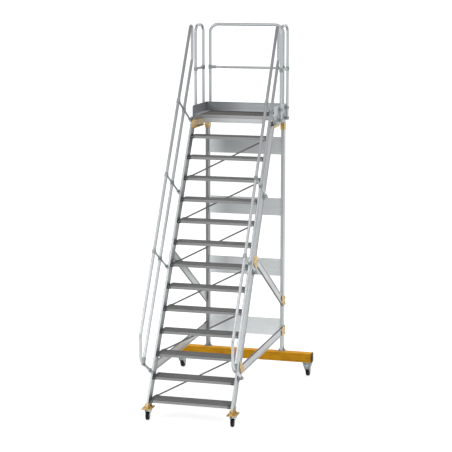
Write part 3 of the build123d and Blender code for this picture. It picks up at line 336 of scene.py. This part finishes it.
ALONG_SLOPE = math.pi / 2 - SLOPE
MATERIALS = {
    # Painted shade: inward faces darker and much more so towards the top, the whole darker upwards, and dark
    # stripes along its length
    "stringer": metal("stringer_metal", (0.37, 0.39, 0.40), (0.48, 0.50, 0.51), (1, 1, 0.02),
                      angle=ALONG_SLOPE, inward_shading=(0.85, 0.36), height_shading=(1.0, 0.8),
                      shade_bands=((-0.014, 1.0), (0.012, 0.95), (0.016, 0.68), (0.022, 0.92), (0.06, 0.88),
                             (0.068, 0.6), (0.075, 0.74), (0.104, 0.7))),
    # Painted light and shade: the left post darker than the right, inward faces lighter and more so towards
    # the top, a little lighter near the floor, and rear faces darker
    "upright": metal("upright_metal", (0.40, 0.42, 0.425), (0.49, 0.51, 0.515), (1, 1, 0.02),
                     inward_shading=(1.15, 1.6), height_shading=(1.12, 0.9), across=(0.4, 0.66, 1.0),
                     facing_shading=(("Y", 1, 0.62),)),
    # Painted shade: tops and undersides much darker, inward faces a little darker
    "brace": metal("brace_metal", (0.42, 0.44, 0.455), (0.54, 0.56, 0.575), (1, 0.02, 1),
                   inward_shading=(0.95, 0.95), facing_shading=(("Z", 1, 0.24), ("Z", -1, 0.22))),
    # Painted shade: faces that look towards the middle of the ladder darker
    "rail": metal("rail_metal", (0.34, 0.35, 0.36), (0.44, 0.45, 0.46), (1, 0.02, 1), inward_shading=(0.6, 0.6)),
    # Painted light and shade on the nosing and apron: darker at the left end, lighter towards the middle and
    # right
    "nosing": metal("nosing_metal", (0.28, 0.285, 0.29), (0.36, 0.365, 0.37), (0.02, 1, 1),
                    across=(0.65, 0.85, 1.05, 1.15, 1.1)),
    "apron": metal("apron_metal", (0.44, 0.45, 0.46), (0.54, 0.55, 0.56), (0.02, 1, 1),
                   across=(0.5, 0.85, 1.05, 1.1, 1.05)),
    # Painted reflection and shade: tops and undersides of the tubes darker
    "tube": metal("tube_metal", (0.41, 0.435, 0.45), (0.52, 0.55, 0.57), (1, 1, 0.05), rough=(0.26, 0.38),
                  bump=0.03, facing_shading=(("Z", 1, 0.48), ("Z", -1, 0.28))),
    # Painted reflection and shade: lighter near the floor, much darker towards the top, and much lighter past
    # the top bend on the upright end
    "handrail": metal("handrail_metal", (0.42, 0.44, 0.455), (0.53, 0.55, 0.565), (1, 1, 0.03),
                      rough=(0.26, 0.38), angle=ALONG_SLOPE, bump=0.03, height_shading=(1.22, 0.46),
                      behind=(RAIL_HIGH.y - 0.03, 1.9)),
    # Painted light and shade: much lighter near the floor, darker towards the top, and a darker band a
    # quarter of the way from the left
    "panel": metal("panel_metal", (0.41, 0.43, 0.435), (0.47, 0.49, 0.495), (0.03, 1, 1), bump=0.03,
                   height_shading=(1.62, 0.95), across=(1.15, 0.86, 0.7, 0.82, 0.9, 0.94, 0.98, 1.02, 1.06)),
    # Painted light and shade: darker at the left, lighter towards the middle and right, upward faces lighter,
    # and inward faces a little darker
    "toe": metal("toe_metal", (0.38, 0.405, 0.42), (0.45, 0.475, 0.49), (0.03, 1, 1), rough=(0.55, 0.68),
                 metallic=0.3, bump=0.03, inward_shading=(0.95, 0.95),
                 across=(0.62, 0.68, 0.86, 1.15, 1.4, 1.42, 1.4, 1.3, 1.15), facing_shading=(("Z", 1, 1.35),)),
    # Painted shade: tops and undersides of the rods darker
    "rod": metal("rod_metal", (0.20, 0.205, 0.21), (0.28, 0.285, 0.29), (0.1, 1, 1), rough=(0.35, 0.5),
                 facing_shading=(("Z", 1, 0.6), ("Z", -1, 0.5))),
    "bolt": metal("bolt_metal", (0.34, 0.35, 0.36), (0.52, 0.53, 0.54), (1, 1, 1), rough=(0.22, 0.35)),
    # The tread tops are drawn very dark: their own dark finish, and partly painted shade between the ribs
    "tread": walked("tread_metal", (0.026, 0.025, 0.023), (0.062, 0.059, 0.054), (0.125, 0.12, 0.11),
                    (0.33, 0.335, 0.335)),
    "deck": walked("deck_metal", (0.040, 0.038, 0.035), (0.085, 0.080, 0.074), (0.15, 0.145, 0.135),
                   (0.24, 0.24, 0.24)),
    "tread_casting": cast("tread_casting", (0.018, 0.023, 0.025), (0.042, 0.050, 0.053), gloss=0.35),
    "clamp": cast("clamp_casting", (0.17, 0.205, 0.205), (0.30, 0.34, 0.34), metallic=0.55,
                  rough=(0.3, 0.45), bump=0.12),
    "zinc": cast("zinc_plate", (0.34, 0.38, 0.385), (0.50, 0.54, 0.545), metallic=0.6, rough=(0.28, 0.42),
                 bump=0.08),
    # Painted shade: the rear forks take this darker copy of the zinc, with their undersides darker still
    "crown": cast("zinc_crown_shaded", (0.15, 0.17, 0.175), (0.30, 0.33, 0.335), metallic=0.6, rough=(0.28, 0.42),
                  bump=0.08, facing_shading=(("Z", -1, 0.5),)),
    # Painted shade: undersides much darker and front faces a little darker; the wide cloudy range is its own
    # patchy tone and partly painted highlight and shade
    "casting": cast("amber_casting", (0.34, 0.195, 0.035), (0.74, 0.49, 0.15), rough=(0.3, 0.45), gloss=0.5,
                    facing_shading=(("Z", -1, 0.16), ("Y", -1, 0.9)), cloudy=30),
    # Painted shade: undersides much darker and side faces darker; the wide cloudy range is its own patchy
    # tone and partly painted highlight and shade
    "foot": cast("foot_casting", (0.18, 0.10, 0.016), (0.80, 0.52, 0.16), rough=(0.28, 0.4), gloss=0.6,
                 facing_shading=(("Z", -1, 0.12), ("X", 1, 0.6), ("X", -1, 0.6)), cloudy=45),
    # Painted light and shade: undersides darker and top faces much lighter
    "beam": cast("amber_beam", (0.39, 0.175, 0.002), (0.50, 0.24, 0.005), rough=(0.45, 0.6), scale=260,
                 bump=0.1, facing_shading=(("Z", -1, 0.45), ("Z", 1, 1.6)), gloss=0.12),
    "cap": cast("black_cap", (0.006, 0.006, 0.006), (0.018, 0.018, 0.018), rough=(0.5, 0.7), scale=320,
                gloss=0.25),
    "tyre": cast("black_rubber", (0.003, 0.0035, 0.004), (0.010, 0.011, 0.012), rough=(0.6, 0.8), scale=380,
                 bump=0.4, gloss=0.2),
    "wheel": cast("wheel_plastic", (0.015, 0.015, 0.016), (0.04, 0.04, 0.043), rough=(0.45, 0.6), scale=300,
                  gloss=0.3),
}


# Mesh tools ------------------------------------------------------------------------------------
WELD = 1e-5
SHARP_FROM, BEVEL_FROM = 35, 40  # degrees between faces


def finished(name, build, look, body="frame", stands_for=(), bevel=0.0):
    """Turns a bmesh into a shaded piece that rides on a body and stands for some CAD nodes."""
    bmesh.ops.recalc_face_normals(build, faces=build.faces)
    mesh = bpy.data.meshes.new(name)
    build.to_mesh(mesh)
    build.free()
    mesh.shade_smooth()
    mesh.set_sharp_from_angle(angle=math.radians(SHARP_FROM))
    mesh.materials.append(MATERIALS[look])
    piece = bpy.data.objects.new(name, mesh)
    scene.collection.objects.link(piece)
    if bevel:
        rounding = piece.modifiers.new("rounding", "BEVEL")
        rounding.width = bevel
        rounding.segments = 2
        rounding.limit_method = "ANGLE"
        rounding.angle_limit = math.radians(BEVEL_FROM)
        rounding.use_clamp_overlap = True
        rounding.harden_normals = True
    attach(piece, body)
    if stands_for:
        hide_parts(*stands_for)


def welded(node):
    """The mesh of a CAD node as a bmesh, with the corners that coincide made one."""
    build = bmesh.new()
    build.from_mesh(nodes[node].data)
    bmesh.ops.remove_doubles(build, verts=build.verts, dist=WELD)
    return build


def cad_copy(node):
    """The mesh of a CAD node, welded and with its flat faces whole again."""
    build = welded(node)
    # Two solids that meet along an edge stay apart, so that each keeps its own shading
    shared = [edge for edge in build.edges if len(edge.link_faces) > 2]
    if shared:
        bmesh.ops.split_edges(build, edges=shared)
    bmesh.ops.dissolve_limit(build, angle_limit=math.radians(1), verts=build.verts, edges=build.edges)
    return build


def islands(node):
    """The separate solids of a CAD node, each as the list of its corners."""
    build = welded(node)
    left = set(build.verts)
    found = []
    while left:
        group, waiting = [], [left.pop()]
        while waiting:
            vert = waiting.pop()
            group.append(vert.co.copy())
            for link in vert.link_edges:
                other = link.other_vert(vert)
                if other in left:
                    left.discard(other)
                    waiting.append(other)
        found.append(group)
    build.free()
    return sorted(found, key=lambda group: tuple(round(c, 4) for c in sum(group, Vector()) / len(group)))


def extent(points):
    """Lowest and highest corners of some points."""
    low = Vector([min(p[i] for p in points) for i in range(3)])
    high = Vector([max(p[i] for p in points) for i in range(3)])
    return low, high


def spread(points, direction):
    """Lowest and highest place of some points along a direction."""
    places = [p.dot(direction) for p in points]
    return min(places), max(places)


def prism(build, outline, low, high):
    """A YZ outline, drawn out along X."""
    rings = [[build.verts.new((x, y, z)) for y, z in outline] for x in (low, high)]
    build.faces.new(rings[0])
    build.faces.new(list(reversed(rings[1])))
    for n in range(len(outline)):
        after = (n + 1) % len(outline)
        build.faces.new((rings[0][n], rings[0][after], rings[1][after], rings[1][n]))


def lathe(build, centre, axis, steps, sides=24, turn=0.0):
    """Turns (radius, height) steps about an axis through `centre`."""
    axis = Vector(axis).normalized()
    side = axis.orthogonal().normalized()
    other = axis.cross(side)
    rings = []
    for radius, height in steps:
        ring = []
        for n in range(sides):
            angle = turn + 2 * math.pi * n / sides
            spoke = side * math.cos(angle) + other * math.sin(angle)
            ring.append(build.verts.new(Vector(centre) + axis * height + spoke * radius))
        rings.append(ring)
    for low, high in zip(rings, rings[1:]):
        for n in range(sides):
            after = (n + 1) % sides
            build.faces.new((low[n], low[after], high[after], high[n]))
    build.faces.new(rings[0])
    build.faces.new(list(reversed(rings[-1])))


def route(points, radii):
    """Points along a run of straight tubes whose corners are bent to the given radii."""
    corners = [Vector(p) for p in points]
    path = [corners[0]]
    for before, corner, after, radius in zip(corners, corners[1:], corners[2:], radii):
        back = (before - corner).normalized()
        ahead = (after - corner).normalized()
        turn = math.pi - back.angle(ahead)
        reach = radius * math.tan(turn / 2)
        centre = corner + (back + ahead).normalized() * (radius / math.cos(turn / 2))
        spoke = corner + back * reach - centre
        hinge = spoke.cross(corner + ahead * reach - centre).normalized()
        count = max(6, round(turn / math.radians(6)))
        for n in range(count + 1):
            path.append(centre + Matrix.Rotation(turn * n / count, 3, hinge) @ spoke)
    path.append(corners[-1])
    return path


def sweep(build, path, radius, sides=28, rim=0.0012):
    """A round bar or tube along a path, with its ends eased."""
    eased_start = path[0] + (path[1] - path[0]).normalized() * rim
    eased_end = path[-1] + (path[-2] - path[-1]).normalized() * rim
    path = [path[0], eased_start, *path[1:-1], eased_end, path[-1]]
    side = (path[1] - path[0]).normalized().orthogonal().normalized()
    before = (path[1] - path[0]).normalized()
    rings = []
    for n, point in enumerate(path):
        ahead = (path[min(n + 1, len(path) - 1)] - path[max(n - 1, 0)]).normalized()
        side = (before.rotation_difference(ahead) @ side).normalized()
        before = ahead
        size = radius - rim if n in (0, len(path) - 1) else radius
        other = ahead.cross(side)
        ring = []
        for k in range(sides):
            angle = 2 * math.pi * k / sides
            ring.append(build.verts.new(point + (side * math.cos(angle) + other * math.sin(angle)) * size))
        rings.append(ring)
    for low, high in zip(rings, rings[1:]):
        for k in range(sides):
            after = (k + 1) % sides
            build.faces.new((low[k], low[after], high[after], high[k]))
    build.faces.new(rings[0])
    build.faces.new(list(reversed(rings[-1])))


def hex_bolt(build, face, axis, across, height):
    """Chamfered hexagon head, on a washer, with its foot at `face`."""
    wide = across * 0.92
    washer = ((wide, 0), (wide, 0.0008), (wide - 0.0005, 0.0014), (across * 0.4, 0.0014))
    lathe(build, face, axis, washer, 28)
    corner = across / math.sqrt(3)
    head = ((corner, 0.0013), (corner, height - 0.0012), (across * 0.5, height), (across * 0.26, height))
    lathe(build, face, axis, head + ((across * 0.22, height - 0.0006),), 6, 0.4)


def rivet(build, face, axis, size):
    """Domed rivet head of a given (radius, height)."""
    radius, height = size
    dome = [(radius * math.cos(a), height * math.sin(a)) for a in (0, 0.4, 0.8, 1.2, 1.45)]
    lathe(build, face, axis, dome, 16)


# Tubes -----------------------------------------------------------------------------------------
FOOT_ALONG, FOOT_END_UP = 0.355, -0.088  # where the handrail's foot meets the stringer, and how low it ends
RAIL_UP, KNEE_UP = 0.505, 0.25  # the two rails above the line of nosings
LOW_BEND, KNEE_BEND, GUARD_BEND = 0.11, 0.07, 0.105
front_y, bar_y, top_z = RAIL_LOW.y + TUBE_R, RAIL_HIGH.y - TUBE_R, RAIL_HIGH.z - TUBE_R
elbow_up = (FOOT_ALONG * math.cos(SLOPE) - (front_y - NOSE_Y)) / math.sin(SLOPE)
top_corner = on_slope(SIDE_X, along_at(bar_y, RAIL_UP), RAIL_UP)
top_bend = (top_corner.z - top_z) / (1 / math.tan((math.pi / 2 - SLOPE) / 2) - 1)
rail_points = (
    on_slope(SIDE_X, FOOT_ALONG, FOOT_END_UP),
    on_slope(SIDE_X, FOOT_ALONG, elbow_up),
    on_slope(SIDE_X, along_at(front_y, RAIL_UP), RAIL_UP),
    top_corner,
    on_slope(SIDE_X, along_at(bar_y, KNEE_UP), KNEE_UP),
    on_slope(SIDE_X, FOOT_ALONG + TUBE_R, KNEE_UP),
)


def bent_tube(name, points, radii, look="tube"):
    """A tube along a bent line, in place of the CAD node of that name."""
    build = bmesh.new()
    sweep(build, route(points, radii), TUBE_R)
    finished(name + ".tube", build, look, stands_for=[name])


def guard(name, axis):
    """A tube that goes up, across along one axis (0 or 1) and down again, in its CAD box."""
    low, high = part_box(name)
    points = []
    for place, z in ((low[axis] + TUBE_R, low.z), (low[axis] + TUBE_R, high.z - TUBE_R),
                     (high[axis] - TUBE_R, high.z - TUBE_R), (high[axis] - TUBE_R, low.z)):
        across = (low[1 - axis] + high[1 - axis]) / 2
        points.append(Vector((place, across, z) if axis == 0 else (across, place, z)))
    bent_tube(name, points, (GUARD_BEND, GUARD_BEND))


for side, end in (("right", 1), ("left", -1)):
    points = [Vector((end * p.x, p.y, p.z)) for p in rail_points]
    bent_tube(f"handrail_{side}", points, (LOW_BEND, LOW_BEND, top_bend, KNEE_BEND), "handrail")
    guard(f"side_guard_{side}", 1)
guard("rear_guard", 0)

SQUARE_UP = Vector((0, -math.sin(SLOPE), math.cos(SLOPE)))
for node, look in (("stanchions", "handrail"), ("guard_mid_rails", "rail")):
    build = bmesh.new()
    for group in islands(node):
        low, high = extent(group)
        middle = (low + high) / 2
        direction = max((X, Y, SQUARE_UP), key=lambda d: spread(group, d)[1] - spread(group, d)[0])
        reach = spread(group, direction)[1] - middle.dot(direction)
        radius = min(top - bottom for bottom, top in zip(low, high)) / 2
        sweep(build, [middle - direction * reach, middle + direction * reach], radius)
    finished(node + ".tubes", build, look, stands_for=[node])

# Tie rods, with an eye and a bolt at each end --------------------------------------------------
ROD_R = 0.0092
EYE_R, EYE_HALF = 0.014, 0.015
EYE_EDGE = 0.0015
ROD_BOLT_ACROSS, ROD_BOLT_HEIGHT = 0.016, 0.009
eye_steps = ((EYE_R - EYE_EDGE, 0), (EYE_R, EYE_EDGE), (EYE_R, 2 * EYE_HALF - EYE_EDGE),
             (EYE_R - EYE_EDGE, 2 * EYE_HALF))
build = bmesh.new()
for group in islands("tie_rods"):
    low, high = extent(group)
    eye = Vector((EYE_R, EYE_HALF, EYE_R))
    start, end = low + eye, high - eye
    sweep(build, [start, end], ROD_R, 20)
    for point in (start, end):
        lathe(build, point - Y * EYE_HALF, Y, eye_steps, 28)
        hex_bolt(build, point + Y * (EYE_HALF - 0.0005), Y, ROD_BOLT_ACROSS, ROD_BOLT_HEIGHT)
finished("tie_rods.turned", build, "rod", stands_for=["tie_rods"])

# Treads and deck -------------------------------------------------------------------------------
TOP_THICK, WEB = 0.006, 0.003  # the plate under the ribs, and the walls that hang from it
TREAD_RIB_PITCH, TREAD_RIB_DEPTH = 0.0095, 0.0022
DECK_RIB_PITCH, DECK_RIB_DEPTH = 0.0135, 0.0012
GROOVES = (0.025, 0.012)  # below the top, in the lip of a tread
GROOVE_DEPTH = 0.0012
NOSE_R = 0.005


def ribbed(start, end, top, pitch, depth):
    """(y, z) points of a ribbed surface between two places, from front to back."""
    points = []
    count = int((end - start) / pitch)
    for n in range(count):
        y = start + n * (end - start) / count
        points += [(y, top), (y + pitch * 0.48, top)]
        points += [(y + pitch * 0.58, top - depth), (y + pitch * 0.9, top - depth)]
    return points + [(end, top)]


def tread_outline(y, z):
    """Section of a tread: grooved lip with a rounded nosing, ribbed top, underside with two stiffeners."""
    back, bottom, under = y + TREAD_DEPTH, z - TREAD_HEIGHT, z - TOP_THICK
    outline = [(y, bottom)]
    for groove in GROOVES:
        outline += [(y, z - groove - 0.002), (y + GROOVE_DEPTH, z - groove - 0.001)]
        outline += [(y + GROOVE_DEPTH, z - groove + 0.001), (y, z - groove + 0.002)]
    for angle in (0, 0.4, 0.8, 1.2):
        outline.append((y + NOSE_R * (1 - math.cos(angle)), z - NOSE_R * (1 - math.sin(angle))))
    outline += ribbed(y + 0.008, back - 0.008, z, TREAD_RIB_PITCH, TREAD_RIB_DEPTH)
    outline += [(back - 0.002, z), (back, z - 0.002)]
    outline += [(back, bottom), (back - WEB, bottom), (back - WEB, under)]
    for share in (0.67, 0.34):
        web = y + share * TREAD_DEPTH
        outline += [(web + WEB / 2, under), (web + WEB / 2, bottom + 0.006)]
        outline += [(web - WEB / 2, bottom + 0.006), (web - WEB / 2, under)]
    return outline + [(y + WEB, under), (y + WEB, bottom)]


for number in range(1, TREADS + 1):
    name = f"tread_{number:02d}"
    low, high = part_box(name)
    build = bmesh.new()
    prism(build, tread_outline(low.y, high.z), low.x, high.x)
    finished(name + ".ribbed", build, "tread", stands_for=[name])

PLANKS = 5
PLANK_GAP, PLANK_EDGE = 0.0012, 0.0015
build = bmesh.new()
width = (DECK_HIGH.y - DECK_LOW.y) / PLANKS
for plank in range(PLANKS):
    start = DECK_LOW.y + plank * width + PLANK_GAP / 2
    end = start + width - PLANK_GAP
    top, under, bottom = DECK_HIGH.z, DECK_HIGH.z - TOP_THICK, DECK_LOW.z
    outline = [(start, bottom), (start, top - PLANK_EDGE), (start + PLANK_EDGE, top)]
    outline += ribbed(start + 0.005, end - 0.005, top, DECK_RIB_PITCH, DECK_RIB_DEPTH)
    outline += [(end - PLANK_EDGE, top), (end, top - PLANK_EDGE), (end, bottom)]
    outline += [(end - WEB, bottom), (end - WEB, under), (start + WEB, under), (start + WEB, bottom)]
    prism(build, outline, DECK_LOW.x, DECK_HIGH.x)
finished("deck.planks", build, "deck", stands_for=["deck"])

# Cast end blocks of the treads, with their rivets ----------------------------------------------
BLOCK_RIVET = (0.0055, 0.0025)
finished("tread_ends.cast", cad_copy("tread_ends"), "tread_casting",
         stands_for=["tread_ends"], bevel=0.0015)
build = bmesh.new()
for number in range(1, TREADS + 1):
    low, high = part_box(f"tread_{number:02d}")
    for side in (-1, 1):
        for inset in (0.012, 0.033):
            x = side * (high.x + inset)
            for back in (0.03, 0.1, 0.176):
                rivet(build, (x, low.y + back, high.z), Z, BLOCK_RIVET)
            rivet(build, (x, low.y, high.z - 0.017), -Y, BLOCK_RIVET)
finished("tread_ends.rivets", build, "bolt")

# Pieces that keep their CAD shape and get eased edges ------------------------------------------
EASED = (
    ("stringer_left", "stringer", "profile", 0.0015),
    ("stringer_right", "stringer", "profile", 0.0015),
    ("rear_posts", "upright", "profile", 0.002),
    ("braces", "brace", "profile", 0.0015),
    ("platform_rails", "rail", "profile", 0.0012),
    ("front_nosing", "nosing", "profile", 0.002),
    ("front_apron", "apron", "profile", 0.0015),
    ("rear_panels", "panel", "panel", 0.0025),
    ("toe_boards", "toe", "panel", 0.0012),
    ("post_feet", "zinc", "zinc", 0.0015),
    ("platform_brackets", "casting", "casting", 0.002),
    ("brace_brackets", "casting", "casting", 0.0018),
    ("front_feet", "foot", "casting", 0.0025),
    ("crossbeam", "beam", "beam", 0.0015),
    ("end_caps", "cap", "cap", 0.002),
    ("rail_clamps", "clamp", "tread_casting", 0.0012),
    ("guard_mid_clamps", "clamp", "tread_casting", 0.0012),
    ("guard_leg_brackets", "clamp", "tread_casting", 0.0012),
    ("castor_plates", "zinc", "zinc", 0.001),
)
for node, look, slot, bevel in EASED:
    finished(node + ".eased", cad_copy(node), look, stands_for=[node], bevel=bevel)

# Bolts -----------------------------------------------------------------------------------------
BOLT_ACROSS = 0.014
PLATE_BOLTS_BELOW = 0.25  # under this height the upright bolts are those of the castor plates, heads down
build = bmesh.new()
for group in islands("bolts"):
    low, high = extent(group)
    size = high - low
    middle = (low + high) / 2
    thin = min(range(3), key=lambda i: size[i])
    axis = (X, Y, Z)[thin]
    head_turned = middle.x <= 0 if thin == 0 else middle.z < PLATE_BOLTS_BELOW
    if head_turned:
        axis = -axis
    hex_bolt(build, middle - axis * size[thin] / 2, axis, BOLT_ACROSS, size[thin])
finished("bolts.turned", build, "bolt", stands_for=["bolts"])

# Screws of the clamps and saddles --------------------------------------------------------------
REAR_GUARD_WITHIN = 0.5  # clamps nearer to the middle than this are on the guard behind the platform
SCREW_SUNK = 0.002
screw_steps = ((0.006, 0), (0.006, 0.0045), (0.0052, 0.0055), (0.003, 0.0055), (0.003, 0.0035))
build = bmesh.new()
for node in ("rail_clamps", "guard_mid_clamps", "guard_leg_brackets"):
    for group in islands(node):
        low, high = extent(group)
        middle = (low + high) / 2
        if abs(middle.x) < REAR_GUARD_WITHIN:
            face, axis = Vector((middle.x, high.y, middle.z)), Y
        else:
            axis = X if middle.x > 0 else -X
            face = Vector((high.x if middle.x > 0 else low.x, middle.y, middle.z))
        lathe(build, face - axis * SCREW_SUNK, axis, screw_steps, 20)
finished("clamp_screws", build, "bolt")

# Rivets of the toe boards and panels -----------------------------------------------------------
SHEET_RIVET, LEDGE_RIVET = (0.005, 0.002), (0.004, 0.0016)
WALL_UP, LEDGE_UP = 0.02, 0.003  # of the rivets, above the foot of the toe boards
build = bmesh.new()
low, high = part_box("toe_boards")
for side, face in ((-1, low.x), (1, high.x)):
    for step in (0.12, 0.3, 0.48):
        rivet(build, (face, low.y + step, low.z + WALL_UP), X * side, SHEET_RIVET)
for step in range(-3, 4):
    rivet(build, (step * 0.15, high.y, low.z + WALL_UP), Y, SHEET_RIVET)
    rivet(build, (step * 0.15, high.y - 0.012, low.z + LEDGE_UP), Z, LEDGE_RIVET)
for side in (-1, 1):
    for step in (0.09, 0.2, 0.31, 0.42, 0.53):
        rivet(build, (side * (high.x - 0.04), low.y + step, low.z + LEDGE_UP), Z, LEDGE_RIVET)
low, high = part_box("rear_panels")
for side in (-1, 1):
    x = side * (high.x - 0.012)
    for group in islands("rear_panels"):
        bottom, top = extent(group)
        for z in (bottom.z + 0.04, (bottom.z + top.z) / 2, top.z - 0.04):
            rivet(build, (x, low.y, z), -Y, SHEET_RIVET)
finished("sheet_rivets", build, "bolt")

# Screws in the end caps of the beam ------------------------------------------------------------
CAP_SCREW = (0.006, 0.0025)
beam_low, beam_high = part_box("crossbeam")
cap_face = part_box("end_caps")[1].x
build = bmesh.new()
for side in (-1, 1):
    middle = Vector((side * cap_face, (beam_low.y + beam_high.y) / 2, (beam_low.z + beam_high.z) / 2))
    for dy, dz in ((-1, -1), (-1, 1), (1, -1), (1, 1)):
        rivet(build, middle + Vector((0, dy * 0.038, dz * 0.04)), X * side, CAP_SCREW)
finished("end_caps.screws", build, "bolt")

# Castors ---------------------------------------------------------------------------------------
AXLE_R, AXLE_NUT_ACROSS, AXLE_NUT_HEIGHT = 0.005, 0.0165, 0.0068
SPOKES, SPOKE_R = 6, 0.003
BOSS_DOWN = 0.026  # the boss of a rear fork, below its crown
boss_steps = ((0.017, 0), (0.017, 0.001), (0.015, 0.003), (0.009, 0.0045), (0.004, 0.005))


def mirrored(steps):
    """Lathe steps from one side to the middle, and back out to the other side."""
    return steps + [(radius, -place) for radius, place in reversed(steps)]


def tyre_steps(radius, half, rim):
    """Section of a tyre: rounded shoulders, and a shallow groove each side of the middle."""
    shoulder = (radius - rim) * 0.55
    steps = [(rim - 0.0005, -half * 0.86), (rim + 0.002, -half)]
    for angle in (0.1, 0.6, 1.1, 1.5):
        steps.append((radius - shoulder * (1 - math.sin(angle)), -half + shoulder * (1 - math.cos(angle))))
    steps += [(radius, -half * 0.34), (radius - 0.0012, -half * 0.30), (radius - 0.0012, -half * 0.26)]
    return mirrored(steps + [(radius, -half * 0.22)])


def wheel_steps(hub, web, half, rim):
    """Section of a wheel: hub, thin web, and a rim under the tyre."""
    steps = [(0.0055, -hub), (0.013, -hub), (0.014, -hub + 0.001), (0.016, -web), (rim * 0.8, -web)]
    return mirrored(steps + [(rim - 0.004, -half * 0.8), (rim - 0.0004, -half * 0.84)])


def castor(place):
    """Fork, tyre, wheel and axle of one castor. A rear fork has a boss on its front, and takes a darker copy
    of the zinc as painted shade.
    """
    at_rear = place.startswith("rear")
    finished(f"fork_{place}.pressed", cad_copy(f"fork_{place}"), "crown" if at_rear else "zinc",
             f"swivel_{place}", [f"fork_{place}"], bevel=0.0012)
    low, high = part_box(f"fork_{place}")
    if at_rear:
        build = bmesh.new()
        lathe(build, Vector(((low.x + high.x) / 2, low.y, high.z - BOSS_DOWN)), -Y, boss_steps, 28)
        finished(f"fork_{place}.boss", build, "bolt", f"swivel_{place}")

    low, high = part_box(f"tyre_{place}")
    middle = (low + high) / 2
    radius, half = (high.z - low.z) / 2, (high.x - low.x) / 2
    rim = radius * 0.76
    build = bmesh.new()
    lathe(build, middle, X, tyre_steps(radius, half, rim), 64)
    finished(f"tyre_{place}.rubber", build, "tyre", f"roller_{place}", [f"tyre_{place}"])

    low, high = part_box(f"wheel_{place}")
    web = half * 0.45
    build = bmesh.new()
    lathe(build, middle, X, wheel_steps((high.x - low.x) / 2, web, half, rim), 48)
    for n in range(SPOKES):
        angle = 2 * math.pi * n / SPOKES + 0.3
        spoke = Vector((0, math.cos(angle), math.sin(angle)))
        for side in (-1, 1):
            ends = [middle + spoke * 0.012 + X * side * web, middle + spoke * (rim - 0.005) + X * side * web]
            sweep(build, ends, SPOKE_R, 10)
    finished(f"wheel_{place}.moulded", build, "wheel", f"roller_{place}", [f"wheel_{place}"])

    low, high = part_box(f"axle_{place}")
    reach = high.x - middle.x - 0.007
    build = bmesh.new()
    sweep(build, [middle - X * reach, middle + X * reach], AXLE_R, 20)
    for side in (-1, 1):
        hex_bolt(build, middle + X * side * reach, X * side, AXLE_NUT_ACROSS, AXLE_NUT_HEIGHT)
    finished(f"axle_{place}.turned", build, "bolt", f"swivel_{place}", [f"axle_{place}"])


for place in ("front_left", "front_right", "rear_left", "rear_right"):
    castor(place)

# The kingpins stay as the CAD has them, with a material of their own
kingpins = nodes["castor_kingpins"].data
kingpins.materials.clear()
kingpins.materials.append(MATERIALS["bolt"])

# Light and floor -------------------------------------------------------------------------------
SKY = ((0.0, 0.45), (0.2, 0.55), (0.6, 0.9), (1.0, 1.0))  # (height, brightness), from level to overhead
SKY_STRENGTH = 1.05
FLOOR_R, FLOOR_GLOW = 400, 0.68
LIT_POINT = (0, 0, 2)
scene.view_settings.view_transform = "Standard"
world = bpy.data.worlds.new("studio")
scene.world = world
world.use_nodes = True
tree = world.node_tree
background = tree.nodes["Background"]
direction = tree.nodes.new("ShaderNodeTexCoord").outputs["Generated"]
split = tree.nodes.new("ShaderNodeSeparateXYZ")
tree.links.new(direction, split.inputs["Vector"])
sky = tree.nodes.new("ShaderNodeValToRGB")
fill_ramp(sky.color_ramp, SKY)
tree.links.new(split.outputs["Z"], sky.inputs["Fac"])
tree.links.new(sky.outputs["Color"], background.inputs["Color"])
background.inputs["Strength"].default_value = SKY_STRENGTH
# Whatever the camera sees past the floor is white
white = tree.nodes.new("ShaderNodeBackground")
white.inputs["Color"].default_value = (1, 1, 1, 1)
seen = tree.nodes.new("ShaderNodeLightPath")
choice = tree.nodes.new("ShaderNodeMixShader")
tree.links.new(seen.outputs["Is Camera Ray"], choice.inputs[0])
tree.links.new(background.outputs[0], choice.inputs[1])
tree.links.new(white.outputs[0], choice.inputs[2])
tree.links.new(choice.outputs[0], tree.nodes["World Output"].inputs["Surface"])


def area_light(name, location, target, size, power):
    """A square softbox that points at the target."""
    data = bpy.data.lights.new(name, "AREA")
    data.size = size
    data.energy = power
    lamp = bpy.data.objects.new(name, data)
    scene.collection.objects.link(lamp)
    lamp.location = location
    lamp.rotation_euler = (Vector(target) - Vector(location)).to_track_quat("-Z", "Y").to_euler()


area_light("key", (-7, -9, 10), LIT_POINT, 5, 420)
area_light("fill", (9, -6, 7), LIT_POINT, 6, 160)
area_light("back", (2, 9, 9), LIT_POINT, 6, 200)

mesh = bpy.data.meshes.new("floor")
build = bmesh.new()
bmesh.ops.create_circle(build, cap_ends=True, segments=64, radius=FLOOR_R)
build.to_mesh(mesh)
build.free()
floor = bpy.data.objects.new("floor", mesh)
scene.collection.objects.link(floor)
paint = Shader("floor_paint", 0.0, 0.9)
paint.colour(paint.ramp(paint.noise(paint.place, 3), (0.3, 0.47), (0.7, 0.49)))
paint.surface.inputs["Emission Color"].default_value = (1, 1, 1, 1)
paint.surface.inputs["Emission Strength"].default_value = FLOOR_GLOW
mesh.materials.append(paint.material)
floor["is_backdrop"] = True

low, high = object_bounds()
